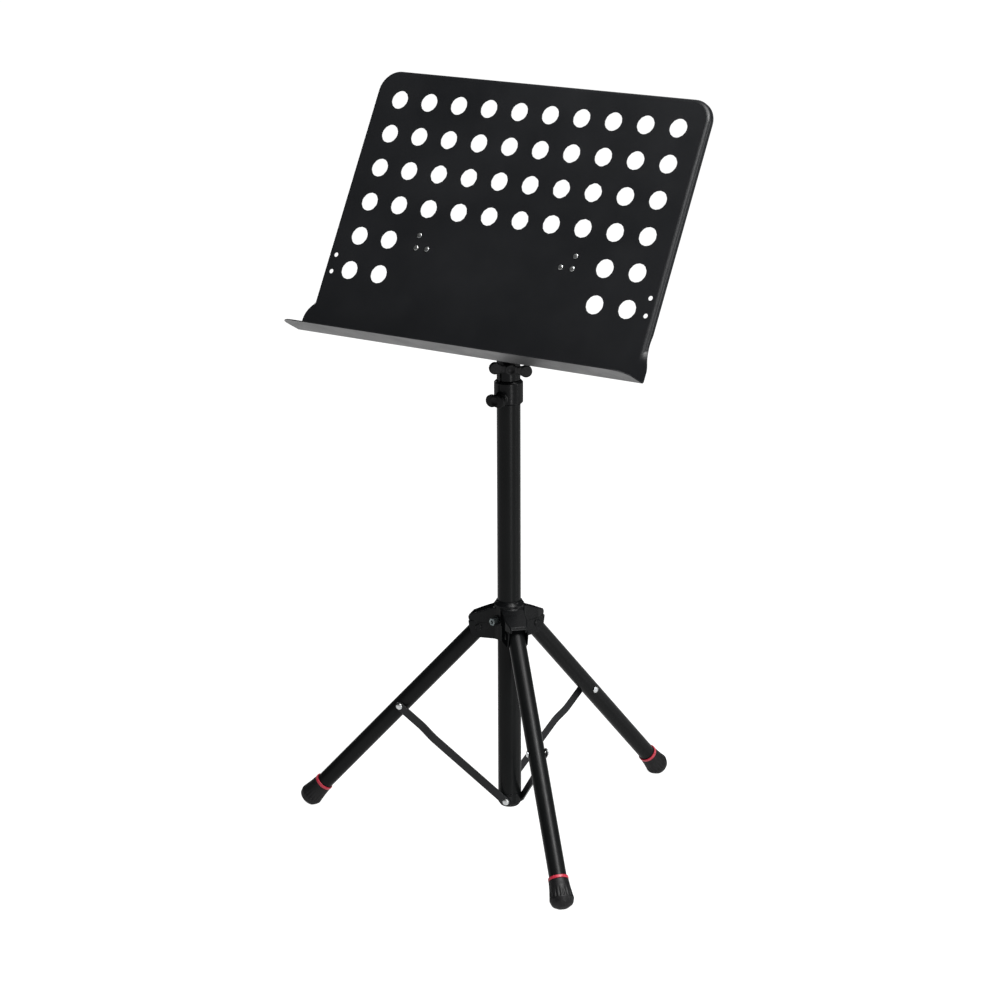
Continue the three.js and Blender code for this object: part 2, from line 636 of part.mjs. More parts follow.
function deskHoles() {
  const holes = [];
  for (let row = 0; row < HOLE_ROWS; row += 1) {
    for (let column = 0; column < HOLE_COLUMNS; column += 1) {
      const middle = column > 1 && column < HOLE_COLUMNS - 2;
      if (row >= FULL_HOLE_ROWS && middle) continue;
      const x = (column - (HOLE_COLUMNS - 1) / 2) * HOLE_PITCH;
      holes.push([x, FIRST_ROW - row * HOLE_PITCH, HOLE_R, 14]);
    }
  }
  for (const hand of [-1, 1]) {
    SMALL_HOLE_HEIGHTS.forEach((z) => holes.push([hand * SMALL_HOLE_X, z, SMALL_HOLE_R, 8]));
    rivetSpots(hand).forEach(([x, z]) => holes.push([x, z, RIVET_R + GAP, 8]));
  }
  return holes;
}

// Face with rows of holes, a shallow rim folded back round the sides and top, and a ledge folded forward.
function deskPanel() {
  const face = deskShape(0, DESK_BEND);
  for (const [x, z, radius, segments] of deskHoles()) {
    const hole = new THREE.Path();
    const points = Array.from({ length: segments }, (_, i) => {
      const angle = -i * 2 * Math.PI / segments;
      return new THREE.Vector2(x + radius * Math.cos(angle), z + radius * Math.sin(angle));
    });
    hole.setFromPoints(points);
    face.holes.push(hole);
  }
  const rimBack = FACE_Y + RIM_DEPTH;
  const rim = cut(
    slab(deskShape(0, DESK_BEND), FACE_Y, rimBack, 5),
    slab(deskShape(SHEET, DESK_BEND - 20), FACE_Y - 1, rimBack + 1, 5),
  );
  const fadeSide = polygon([
    [FACE_Y + SHEET, DESK_BEND - 5], [rimBack + 5, DESK_BEND - 5], [rimBack + 5, RIM_FULL + 4],
    [rimBack, RIM_FULL], [FACE_Y + SHEET, RIM_END],
  ]);
  const fade = slab(fadeSide, -300, 300).rotateZ(Math.PI / 2);
  return join(slab(face, FACE_Y, FACE_Y + SHEET, 5), cut(rim, fade), ledge());
}

function ledge() {
  const front = FACE_Y - LEDGE_DEPTH;
  const back = FACE_Y + SHEET;
  const half = DESK_HALF_FLAT;
  const shape = new THREE.Shape();
  shape.moveTo(-half, back);
  shape.lineTo(-half, front + LEDGE_CORNER);
  shape.absarc(-half + LEDGE_CORNER, front + LEDGE_CORNER, LEDGE_CORNER, Math.PI, 1.5 * Math.PI, false);
  shape.lineTo(half - LEDGE_CORNER, front);
  shape.absarc(half - LEDGE_CORNER, front + LEDGE_CORNER, LEDGE_CORNER, -Math.PI / 2, 0, false);
  shape.lineTo(half, back);
  shape.lineTo(-half, back);
  return sheet(shape, DESK_BEND, DESK_BEND + SHEET, 5);
}

// Bent plate: a riveted foot against the desk's back and an ear that holds the tilt rod.
function bracket(hand) {
  const front = FACE_Y + SHEET + GAP;
  const plate = polygon([
    [EAR_X, -16], [124, -16], [124, 14], [116, 18], [108, 18], [EAR_X, 10],
  ]);
  const ear = new THREE.Shape();
  ear.moveTo(front, -16);
  ear.lineTo(front, 10);
  ear.lineTo(0, EAR_R);
  ear.absarc(0, 0, EAR_R, Math.PI / 2, -Math.PI / 2, true);
  ear.lineTo(-16, -12);
  ear.lineTo(front, -16);
  const earSolid = slab(ear, -EAR_X - BRACKET_SHEET, -EAR_X, 6).rotateZ(Math.PI / 2);
  const solid = cut(
    join(slab(plate, front, front + BRACKET_SHEET), earSolid),
    sideBar(ROD_R + GAP, EAR_X - 10, EAR_X + 12, 16),
    ...rivetSpots(1).map(([x, z]) => crossBar(RIVET_R + GAP, front - 2, front + 4, 8).translate(x, 0, z)),
  );
  return hand > 0 ? solid : mirrored(solid);
}

function mirrored(geometry) {
  const flipped = geometry.clone().scale(-1, 1, 1);
  const index = flipped.index.array;
  for (let i = 0; i < index.length; i += 3) {
    [index[i], index[i + 1]] = [index[i + 1], index[i]];
  }
  flipped.computeVertexNormals();
  return flipped;
}

// ---- assembly --------------------------------------------------------------
function centreOnFloor(stand) {
  stand.updateMatrixWorld(true);
  const bounds = new THREE.Box3().setFromObject(stand, true);
  const middle = bounds.getCenter(new THREE.Vector3());
  stand.position.set(-middle.x, -middle.y, -bounds.min.z);
}

const stand = new THREE.Group();
addPost(stand);
addHeightKnob(stand);
addInnerTube(stand);
addSocketKnob(stand);
addHub(stand);
addLegs(stand);
addHead(stand);
addDesk(stand);
centreOnFloor(stand);

export default stand;
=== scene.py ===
"""Looks of the orchestra music stand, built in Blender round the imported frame.

Shapes are drawn in millimetres from the post's axis, Z up, and placed in the row frame in metres.
"""

import json
import math

import bpy
import numpy as np
from mathutils import Matrix, Vector
from mathutils.geometry import delaunay_2d_cdt


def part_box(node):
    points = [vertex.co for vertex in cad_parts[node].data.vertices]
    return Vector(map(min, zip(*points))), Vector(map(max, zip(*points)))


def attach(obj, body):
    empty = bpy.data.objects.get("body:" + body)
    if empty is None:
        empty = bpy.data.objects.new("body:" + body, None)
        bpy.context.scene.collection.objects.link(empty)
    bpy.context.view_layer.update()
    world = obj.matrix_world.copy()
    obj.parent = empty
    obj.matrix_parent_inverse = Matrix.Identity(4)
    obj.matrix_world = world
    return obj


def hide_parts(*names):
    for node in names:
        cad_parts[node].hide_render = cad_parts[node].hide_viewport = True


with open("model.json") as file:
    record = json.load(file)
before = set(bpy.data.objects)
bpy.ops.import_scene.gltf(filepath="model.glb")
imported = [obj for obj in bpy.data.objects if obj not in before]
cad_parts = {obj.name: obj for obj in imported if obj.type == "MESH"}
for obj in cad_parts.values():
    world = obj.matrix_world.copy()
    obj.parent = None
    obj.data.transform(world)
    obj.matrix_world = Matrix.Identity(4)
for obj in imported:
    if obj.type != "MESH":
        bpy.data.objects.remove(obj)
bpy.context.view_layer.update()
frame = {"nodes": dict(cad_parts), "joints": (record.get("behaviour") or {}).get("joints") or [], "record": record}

MM = 0.001
RECORD = frame["record"]
BODY = {n: body for body, nodes in RECORD["behaviour"]["bodies"].items() for n in nodes}
SLOT = {part["node"]: part["material_slot"] for part in RECORD["subparts"]}
JOINTS = {joint["name"]: joint for joint in frame["joints"]}

# ---- driving dimensions, in millimetres and degrees
GAP = 0.3

post_low, post_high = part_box("main_tube")
POST_AXIS = np.array([(post_low.x + post_high.x) / 2, (post_low.y + post_high.y) / 2, 0])


def level_range(node):
    """Lowest and highest level of a CAD node, in millimetres."""
    low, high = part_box(node)
    return low.z / MM, high.z / MM


POST_R = 15
POST_BORE = 13.5
POST_BOTTOM, POST_TOP = level_range("main_tube")
PLUG_BOTTOM = level_range("post_end_plug")[0]
INNER_R = 12.5
INNER_BORE = 11.25
INNER_BOTTOM, INNER_TOP = level_range("inner_tube")
COLLAR_R = 18.2
COLLAR_BOTTOM, COLLAR_TOP = level_range("height_collar")
HEIGHT_KNOB_Z = JOINTS["height_knob_turn"]["pos_m"][2] / MM
SOCKET_BOTTOM, SOCKET_TOP = level_range("top_socket")
SOCKET_R = 14.8
SOCKET_KNOB_Z = JOINTS["socket_knob_turn"]["pos_m"][2] / MM
SOCKET_KNOB_AZIMUTH = 309.7
SOCKET_KNOB_TURN = 7                  # about the knob's own axis
SLIT_AZIMUTH = 262.7
SEAT_R = 8                            # round seat behind each knob
KNOB_BOSS_R = 6.5
HEIGHT_KNOB = {"start": 21.8, "lobe_at": 6.1, "lobe_r": 8.0, "thickness": 9.5}
SOCKET_KNOB = {"start": 20.4, "lobe_at": 19.4, "lobe_r": 7.7, "thickness": 11.0}
SHAFT_R = 10

HUB_BOTTOM, HUB_TOP = level_range("hub")
HUB_R = 19.5
ARM_TIP = 52
CHEEK_INNER = 11.5
CHEEK_OUTER = 13.2
HOOD_OUTER = 14.4
HOOD_BOTTOM = 279                     # lower edge of the hood, where the thinner cheeks start
TAPER_FROM = 38                       # the hood narrows from here out
TAPER = 0.268
HOOD_WALL = 2.6
HUB_SCREW_Z = 285
HUB_SCREW = {"across_flats": 9, "height": 9.5, "shank_r": 3, "recess": 2.2}
HUB_BOSS_R = 6.5                      # round boss under the screw's head
HUB_BOSS_OUT = HUB_R + 1.2
LEG_AZIMUTHS = [77.8, 197.8, 317.8]
HUB_SCREW_AZIMUTH = LEG_AZIMUTHS[0] + 180
LEG_ANGLE = 42.4
LEG_R = 11
LEG_BORE = 9.8
PIVOT_R = 37
PIVOT_Z = JOINTS["leg_1_hinge"]["pos_m"][2] / MM
BRACE_PIN_AT = 161
RING_AT = 326.3
FOOT_LENGTH = 38
FLUTES = 20                           # round each foot
FLUTE_DEPTH = 0.75
POST_PIN_Z = 38
POST_PAD_R = 6.5                      # pads on the post's lower plug, one for each strut
RIVET_HEAD = (4.2, 1.9)               # radius and height
RIVET_SHANK_R = 2.5
BRACE_WIDTH = 11
BRACE_SHEET = 2
BRACE_T_LEG = 12.4
BRACE_T_POST = 16.7

TILT_Z = JOINTS["desk_tilt"]["pos_m"][2] / MM
TILT_BACK = 29
ROD_R = 5
SHEET = 1.2
FACE_Y = -34
HOLE_PITCH = 46
HOLE_R = 12
HOLE_COLUMNS = 10
HOLE_ROWS = 6
FULL_HOLE_ROWS = 4
FIRST_ROW = 182.5
DESK_TOP = 221.6
DESK_BEND = -134.2
DESK_HALF = 246.5
DESK_HALF_FLAT = 256.4
DESK_CORNER = 28
RIM_DEPTH = 10
LEDGE_DEPTH = 48
LEDGE_CORNER = 21
RIVET_SPOTS = [(116.4, 8.8), (116.4, -7.5), (99.8, -7.5)]
EAR_X = 90
BRACKET_SHEET = 2
SIDE_HOLES = [(234.2, -30), (234.2, -52.2)]
SIDE_HOLE_R = 3
LIP = 0.35                            # rounding of the sheet's edges, added by thickened()

TILT_HALF = 15                        # half the width of the tilt clamp
TILT_BOLT_Y = 16.5
TILT_BOLT_Z = TILT_Z - 14
TILT_BOLT_FLATS = 8
TILT_BOLT_HEAD = 3.7
ROD_NUT_FLATS = 16


# ---- placing
def shift(x=0.0, y=0.0, z=0.0):
    return np.array(Matrix.Translation((x, y, z)))


def turn(axis, degrees):
    return np.array(Matrix.Rotation(math.radians(degrees), 4, axis))


HERE = np.eye(4)
DESK_AT = shift(z=TILT_Z) @ turn("X", -TILT_BACK)
TO_MINUS_Y = turn("X", 90)            # these send a lathe's +Z that way
TO_PLUS_Y = turn("X", -90)
TO_PLUS_X = turn("Y", 90)
TO_MINUS_X = turn("Y", -90)


def leg_at(azimuth):
    return turn("Z", azimuth) @ shift(PIVOT_R, 0, PIVOT_Z) @ turn("Y", -LEG_ANGLE)


# A mesh is a triple: points (n, 3), faces (lists of point numbers), unit normals (n, 3) or None.
def placed(mesh, at):
    points, faces, normals = mesh
    turned = at[:3, :3].T
    return points @ turned + at[:3, 3], faces, None if normals is None else normals @ turned


def joined(*meshes):
    points, faces, normals, start = [], [], [], 0
    for mesh_points, mesh_faces, mesh_normals in meshes:
        points.append(mesh_points)
        faces.extend([[i + start for i in face] for face in mesh_faces])
        normals.append(mesh_normals)
        start += len(mesh_points)
    return np.vstack(points), faces, np.vstack(normals)


def mirrored(mesh):
    points, faces, normals = mesh
    flip = np.array([-1, 1, 1])
    return points * flip, [face[::-1] for face in faces], normals * flip


def make(node, mesh, at=HERE):
    """Puts the finished mesh of one CAD node into the scene, in that node's place."""
    points, faces, normals = placed(mesh, at)
    data = bpy.data.meshes.new(node + "_fine")
    data.from_pydata((points * MM + POST_AXIS).tolist(), [], [list(face) for face in faces])
    data.validate()
    data.shade_smooth()
    if normals is not None:
        data.normals_split_custom_set_from_vertices(normals.tolist())
    made = bpy.data.objects.new(node + "_fine", data)
    bpy.context.scene.collection.objects.link(made)
    data.materials.append(MATERIALS[SLOT[node]])
    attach(made, BODY[node])
    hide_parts(node)
    return made


# ---- turned pieces
def eased(corners, radius=0.5, closed=False, steps=4):
    """Rounds the corners of a section. Gives rows of [r, z, normal r, normal z]."""
    points = [np.array(c[:2], float) for c in corners]
    radii = [c[2] if len(c) > 2 else radius for c in corners]
    count = len(points)
    rows = []
    for i, point in enumerate(points):
        if not closed and i in (0, count - 1):
            other = points[1] if i == 0 else points[-2]
            along = (other - point) * (1 if i == 0 else -1)
            along = along / np.linalg.norm(along)
            rows.append([*point, along[1], -along[0]])
            continue
        before, after = points[i - 1] - point, points[(i + 1) % count] - point
        reach = [np.linalg.norm(before), np.linalg.norm(after)]
        before, after = before / reach[0], after / reach[1]
        bend = math.pi - math.acos(np.clip(before @ after, -1, 1))
        if bend < 1e-3:
            continue
        cut = min(radii[i] * math.tan(bend / 2), 0.46 * min(reach))
        n_in = np.array([-before[1], before[0]])
        n_out = np.array([after[1], -after[0]])
        start, end = point + before * cut, point + after * cut
        for k in range(steps + 1):
            t = k / steps
            a, b, c = (1 - t) ** 2, 2 * t * (1 - t), t * t
            normal = n_in * (1 - t) + n_out * t
            normal = normal / np.linalg.norm(normal)
            rows.append([*(a * start + b * point + c * end), *normal])
    return np.array(rows)


def lathe(section, segments=72, closed=False):
    """Turns a section from eased() round Z. An open section starts and ends on the axis."""
    angles = np.arange(segments) * 2 * math.pi / segments
    c, s = np.cos(angles), np.sin(angles)
    points, normals, rings = [], [], []
    start = 0
    for r, z, nr, nz in section:
        if r < 1e-6:
            points.append([[0, 0, z]])
            normals.append([[0, 0, math.copysign(1, nz)]])
            rings.append([start] * segments)
            start += 1
            continue
        points.append(np.column_stack([r * c, r * s, np.full(segments, z)]))
        normals.append(np.column_stack([nr * c, nr * s, np.full(segments, nz)]))
        rings.append(list(range(start, start + segments)))
        start += segments
    faces = []
    pairs = list(zip(rings, rings[1:] + rings[:1]))
    for low, high in pairs if closed else pairs[:-1]:
        for j in range(segments):
            k = (j + 1) % segments
            corners = [low[j], low[k], high[k], high[j]]
            faces.append([v for i, v in enumerate(corners) if v != corners[i - 1]])
    return np.vstack(points), faces, np.vstack(normals)


def tube(outer, inner, bottom, top, segments=72):
    corners = [(outer, bottom), (outer, top), (inner, top), (inner, bottom)]
    return lathe(eased(corners, 0.45, closed=True), segments, closed=True)


def dome(radius, height):
    """A rivet head on the plane z = 0."""
    rim = height * 0.22
    arc = [(radius * math.cos(a), rim + (height - rim) * math.sin(a))
           for a in np.linspace(0.25, 1.35, 6)]
    return lathe(eased([(0, 0), (radius, 0), *arc, (0, height)], 0.25, steps=3), 40)


def round_pin(radius, bottom, top, segments):
    """A plain round pin along Z."""
    return lathe(eased([(0, bottom), (radius, bottom), (radius, top), (0, top)], 0.1), segments)


# ---- moulded pieces, as signed distances
def fuse(a, b, fillet):
    """Union with a fillet."""
    u, v = np.maximum(fillet - a, 0), np.maximum(fillet - b, 0)
    return np.maximum(fillet, np.minimum(a, b)) - np.hypot(u, v)


def meet(a, b, rounding):
    """Intersection with a rounded edge."""
    u, v = np.maximum(rounding + a, 0), np.maximum(rounding + b, 0)
    return np.minimum(-rounding, np.maximum(a, b)) + np.hypot(u, v)


def carve(a, tool, rounding):
    return meet(a, -tool, rounding)


def inset(corners, distance):
    """The polygon with its sides moved inward; its corners run anticlockwise."""
    points = np.array(corners, dtype=float)
    along = np.roll(points, -1, axis=0) - points
    along /= np.linalg.norm(along, axis=1)[:, None]
    inward = np.column_stack([-along[:, 1], along[:, 0]])
    before = np.roll(inward, 1, axis=0)
    shared = (inward + before) / (1 + (inward * before).sum(1))[:, None]
    return [tuple(point) for point in points + shared * distance]


def outline(corners, radius=0.0):
    """Signed distance to a closed polygon in a plane, negative inside, with its corners rounded."""
    corners = inset(corners, radius)

    def field(x, y):
        nearest = np.full(x.shape, 1e12)
        side = np.ones(x.shape)
        for (ax, ay), (bx, by) in zip(corners, corners[1:] + corners[:1]):
            ex, ey = bx - ax, by - ay
            wx, wy = x - ax, y - ay
            t = np.clip((wx * ex + wy * ey) / (ex * ex + ey * ey), 0, 1)
            nearest = np.minimum(nearest, (wx - ex * t) ** 2 + (wy - ey * t) ** 2)
            above, below, left = y >= ay, y < by, ex * wy > ey * wx
            side = np.where((above & below & left) | ~(above | below | left), -side, side)
        return side * np.sqrt(nearest) - radius
    return field


def slab(value, low, high):
    return np.abs(value - (low + high) / 2) - (high - low) / 2


def spun(x, y, azimuth):
    """Coordinates along and across a direction in the plan."""
    c, s = math.cos(math.radians(azimuth)), math.sin(math.radians(azimuth))
    return x * c + y * s, y * c - x * s


def sculpt(field, low, high, step):
    """The surface where field is zero, as a fine quad mesh whose points and normals follow the field."""
    axes = [np.arange(a, b + step, step) for a, b in zip(low, high)]
    grid = np.meshgrid(*axes, indexing="ij")
    values = field(*grid)
    inside = values < 0
    shape = np.array(values.shape) - 1
    total, crossings = np.zeros((*shape, 3)), np.zeros(shape)
    corners = [(i, j, k) for i in (0, 1) for j in (0, 1) for k in (0, 1)]

    def window(array, offset):
        return array[tuple(slice(o, o + n) for o, n in zip(offset, shape))]

    for a in corners:
        for axis in range(3):
            if a[axis]:
                continue
            b = tuple(v + (i == axis) for i, v in enumerate(a))
            va, vb = window(values, a), window(values, b)
            crossed = window(inside, a) != window(inside, b)
            t = np.where(crossed, va / np.where(crossed, va - vb, 1), 0)
            for i in range(3):
                total[..., i] += np.where(crossed, a[i] + (t if i == axis else 0), 0)
            crossings += crossed
    active = crossings > 0
    number = np.full(shape, -1)
    number[active] = np.arange(active.sum())
    cells = np.argwhere(active)
    points = (cells + total[active] / crossings[active][:, None]) * step + np.array(low)
    faces = []
    for axis in range(3):
        u, v = [i for i in range(3) if i != axis]
        first = tuple(slice(0, -1) if i == axis else slice(1, -1) for i in range(3))
        second = tuple(slice(1, None) if i == axis else slice(1, -1) for i in range(3))
        starts, ends = inside[first], inside[second]
        for going_out in (True, False):
            edges = np.argwhere((starts != ends) & (starts == going_out))
            edges = edges + np.array([0 if i == axis else 1 for i in range(3)])
            ring = []
            for du, dv in ((-1, -1), (0, -1), (0, 0), (-1, 0)):
                cell = edges.copy()
                cell[:, u] += du
                cell[:, v] += dv
                ring.append(number[cell[:, 0], cell[:, 1], cell[:, 2]])
            quads = np.column_stack(ring)
            if going_out == (axis == 1):
                quads = quads[:, ::-1]
            faces.extend(quads.tolist())
    reach = step * 0.02
    for _ in range(4):
        value, slope = field(*points.T), gradient(field, points, reach)
        size = np.maximum((slope ** 2).sum(1), 0.1)
        move = slope * (value / size)[:, None]
        points = points - np.clip(move, -step * 0.5, step * 0.5)
    normals = gradient(field, points, reach)
    normals /= np.maximum(np.linalg.norm(normals, axis=1), 1e-9)[:, None]
    return points, faces, normals


def gradient(field, points, reach):
    slope = np.zeros_like(points)
    for i in range(3):
        offset = np.zeros(3)
        offset[i] = reach
        slope[:, i] = (field(*(points + offset).T) - field(*(points - offset).T)) / (2 * reach)
    return slope


# ---- sheet metal
def thickened(points, faces, normals, thickness, lip):
    """Gives a middle surface its thickness, with rounded edges all round it and round its holes."""
    half = thickness / 2
    count = len(points)
    half_edges = {(a, b) for face in faces for a, b in zip(face, face[1:] + face[:1])}
    border = [(a, b) for a, b in half_edges if (b, a) not in half_edges]
    outward = np.zeros_like(points)
    for a, b in border:
        along = points[b] - points[a]
        out = np.cross(along / np.linalg.norm(along), normals[a])
        outward[a] += out
        outward[b] += out
    edge_points = sorted({i for edge in border for i in edge})
    rank = {v: i for i, v in enumerate(edge_points)}
    out = outward[edge_points]
    out /= np.linalg.norm(out, axis=1)[:, None]
    base, up = points[edge_points], normals[edge_points]
    all_points = [points + normals * half, points - normals * half]
    all_normals = [normals, -normals]
    for side, angle in ((1, 45), (1, 0), (-1, 0), (-1, 45)):
        c, s = math.cos(math.radians(angle)), math.sin(math.radians(angle))
        height = half - lip + lip * s
        all_points.append(base + out * lip * c + up * side * height)
        all_normals.append(out * c + up * side * s)
    starts = [2 * count + row * len(edge_points) for row in range(4)]
    all_faces = [list(face) for face in faces] + [[i + count for i in face[::-1]] for face in faces]
    for a, b in border:
        chain_a = [a, *[start + rank[a] for start in starts], a + count]
        chain_b = [b, *[start + rank[b] for start in starts], b + count]
        for k in range(len(chain_a) - 1):
            all_faces.append([chain_b[k], chain_a[k], chain_a[k + 1], chain_b[k + 1]])
    return np.vstack(all_points), all_faces, np.vstack(all_normals)


def filled(border, holes):
    """Triangles of a flat region in a plane. Holes are (x, y, radius, segments)."""
    points = [Vector(p) for p in border]
    loops = [list(range(len(border)))]
    for x, y, radius, segments in holes:
        for k in range(segments):
            a = 2 * math.pi * k / segments
            points.append(Vector((x + radius * math.cos(a), y + radius * math.sin(a))))
        loops.append(list(range(len(points) - segments, len(points))))
    edges = [(a, b) for loop in loops for a, b in zip(loop, loop[1:] + loop[:1])]
    found, _, triangles, *_ = delaunay_2d_cdt(points, edges, [loops[0]], 1, 1e-5)
    flat = np.array([list(p) for p in found])
    kept = []
    for triangle in triangles:
        middle = flat[list(triangle)].mean(0)
        if all(math.hypot(middle[0] - x, middle[1] - y) > r * 0.97 for x, y, r, _ in holes):
            kept.append(list(triangle))
    return flat, kept


def welded(*meshes):
    """Joins meshes that share border points, keeping one copy of each point."""
    points, faces, normals = joined(*meshes)
    seen, number = {}, []
    keep = []
    for i, key in enumerate(map(tuple, np.round(points, 3))):
        if key not in seen:
            seen[key] = len(keep)
            keep.append(i)
        number.append(seen[key])
    renumbered = [[number[i] for i in face] for face in faces]
    renumbered = [face for face in renumbered if len(set(face)) == len(face)]
    return points[keep], renumbered, normals[keep]


def grid_faces(rows, columns, flip=False):
    faces = []
    for i in range(rows - 1):
        for j in range(columns - 1):
            a = i * columns + j
            face = [a, a + 1, a + columns + 1, a + columns]
            faces.append(face[::-1] if flip else face)
    return faces


# ---- materials
class Nodes:
    """A material's node tree with its Principled shader, in the piece's own coordinates."""

    def __init__(self, name):
        self.material = bpy.data.materials.new(name)
        self.material.use_nodes = True
        self.tree = self.material.node_tree
        self.shader = self.tree.nodes["Principled BSDF"]
        self.place = self.tree.nodes.new("ShaderNodeTexCoord").outputs["Object"]
        self.bump = None

    def set(self, **values):
        for name, value in values.items():
            self.shader.inputs[name.replace("_", " ")].default_value = value

    def noise(self, scale, detail=2.0, roughness=0.5, stretch=None):
        node = self.tree.nodes.new("ShaderNodeTexNoise")
        node.inputs["Scale"].default_value = scale
        node.inputs["Detail"].default_value = detail
        node.inputs["Roughness"].default_value = roughness
        source = self.place
        if stretch:
            mapping = self.tree.nodes.new("ShaderNodeMapping")
            mapping.inputs["Scale"].default_value = stretch
            self.tree.links.new(self.place, mapping.inputs["Vector"])
            source = mapping.outputs["Vector"]
        self.tree.links.new(source, node.inputs["Vector"])
        return node.outputs["Fac"]

    def ramp(self, value, low, high, stops):
        """Maps value from low..high onto a list of colours or greys."""
        node = self.tree.nodes.new("ShaderNodeValToRGB")
        elements = node.color_ramp.elements
        while len(elements) < len(stops):
            elements.new(0.5)
        for k, stop in enumerate(stops):
            elements[k].position = low + (high - low) * k / (len(stops) - 1)
            elements[k].color = (*stop, 1) if len(stop) == 3 else (stop[0],) * 3 + (1,)
        self.tree.links.new(value, node.inputs["Fac"])
        return node.outputs["Color"]

    def sheen(self, low, high, levels):
        """Sets how strongly the coat reflects, from head on (low) to glancing (high)."""
        weight = self.tree.nodes.new("ShaderNodeLayerWeight")
        weight.inputs["Blend"].default_value = 0.5
        stops = [(level,) for level in levels]
        self.link(self.ramp(weight.outputs["Facing"], low, high, stops), "Specular IOR Level")

    def link(self, value, socket):
        self.tree.links.new(value, self.shader.inputs[socket])

    def vary(self, socket, grain, low, high, stops):
        """Drives a socket with a noise, whose scale, detail and so on are in grain."""
        self.link(self.ramp(self.noise(*grain), low, high, stops), socket)

    def add_bump(self, height, depth):
        node = self.tree.nodes.new("ShaderNodeBump")
        node.inputs["Strength"].default_value = 1.0
        node.inputs["Distance"].default_value = depth
        self.tree.links.new(height, node.inputs["Height"])
        if self.bump is not None:
            self.tree.links.new(self.bump, node.inputs["Normal"])
        self.bump = node.outputs["Normal"]
        self.link(self.bump, "Normal")


def coated(name, ior, colour, gloss, bumps, sheen=None):
    """Paint, plastic or rubber. Colour is (grain, low, high, darker, lighter), gloss is (grain, least
    and most roughness), sheen is what sheen() takes and a bump is (scale, detail, depth)."""
    n = Nodes(name)
    n.set(Metallic=0.0, IOR=ior)
    n.vary("Base Color", *colour[:3], colour[3:])
    n.vary("Roughness", gloss[0], 0.3, 0.7, [(level,) for level in gloss[1:]])
    if sheen:
        n.sheen(*sheen)
    for scale, detail, depth in bumps:
        n.add_bump(n.noise(scale, detail), depth)
    return n.material


def plated_steel(name, darker, lighter):
    """Zinc plate with fine scratches."""
    n = Nodes(name)
    n.set(Metallic=1.0)
    n.vary("Base Color", (220, 4, 0.6), 0.3, 0.7, [darker, lighter])
    n.vary("Roughness", (900, 3, 0.7, (1, 1, 0.15)), 0.3, 0.7, [(0.22,), (0.4,)])
    n.add_bump(n.noise(1600, 2, 0.6, (1, 1, 0.12)), 0.00003)
    return n.material


COATS = {
    # satin black with the fine grain and slow waviness of sprayed and baked powder
    "desk_powder_coat": dict(
        ior=1.3, colour=((9, 3), 0.35, 0.65, (0.0042, 0.0045, 0.0051), (0.0058, 0.0061, 0.0068)),
        gloss=((26, 4, 0.6), 0.34, 0.42), sheen=(0.2, 0.7, (0.5, 0.04, 0.38)),
        bumps=[(2600, 2, 0.00003), (520, 1, 0.00005)]),
    # semi-gloss black coat on drawn tube
    "tube_powder_coat": dict(
        ior=1.3, colour=((12, 3), 0.35, 0.65, (0.0026, 0.0029, 0.0030), (0.0038, 0.0041, 0.0042)),
        gloss=((60, 4, 0.6), 0.27, 0.35), sheen=(0.15, 0.75, (0.17, 0.06)),
        bumps=[(1900, 2, 0.00002), (380, 1, 0.00003)]),
    # glossy moulded nylon with faint flow marks
    "moulded_black": dict(
        ior=1.34, colour=((40, 3), 0.3, 0.7, (0.0022, 0.0024, 0.0026), (0.0034, 0.0036, 0.0039)),
        gloss=((150, 3, 0.55), 0.22, 0.3), sheen=(0.15, 0.7, (0.16, 0.12, 0.0)),
        bumps=[(900, 1, 0.000006), (140, 1, 0.000012)]),
    # matt moulded plastic with a spark-eroded grain
    "knob_black": dict(
        ior=1.34, colour=((90, 3), 0.3, 0.7, (0.0020, 0.0020, 0.0022), (0.0032, 0.0032, 0.0035)),
        gloss=((400, 3, 0.6), 0.38, 0.52), sheen=(0.15, 0.75, (0.2, 0.08, 0.03)),
        bumps=[(2200, 2, 0.00004)]),
    # moulded rubber, matt, with a bloom of dust
    "rubber_black": dict(
        ior=1.35, colour=((110, 5, 0.65), 0.35, 0.75, (0.0026, 0.0026, 0.0028), (0.0056, 0.0055, 0.0059)),
        gloss=((240, 3, 0.6), 0.4, 0.56), sheen=(0.15, 0.75, (0.26, 0.07)),
        bumps=[(1500, 3, 0.00005)]),
    # satin crimson plastic
    "ring_red": dict(
        ior=1.4, colour=((160, 3), 0.3, 0.7, (0.21, 0.009, 0.020), (0.29, 0.014, 0.030)),
        gloss=((300, 2), 0.32, 0.45), bumps=[(1200, 2, 0.00003)]),
}
MATERIALS = {name: coated(name, **look) for name, look in COATS.items()}
MATERIALS["zinc_steel"] = plated_steel("zinc_steel", (0.34, 0.36, 0.38), (0.52, 0.52, 0.5))
MATERIALS["dark_steel"] = plated_steel("dark_steel", (0.07, 0.085, 0.09), (0.15, 0.17, 0.17))


# ---- post
def make_post():
    make("main_tube", tube(POST_R, POST_BORE, POST_BOTTOM, POST_TOP, segments=96))
    make("inner_tube", tube(INNER_R, INNER_BORE, INNER_BOTTOM, INNER_TOP, segments=96))
    make("post_end_plug", end_plug())
    make("height_collar", height_collar())
    make("top_socket", top_socket())


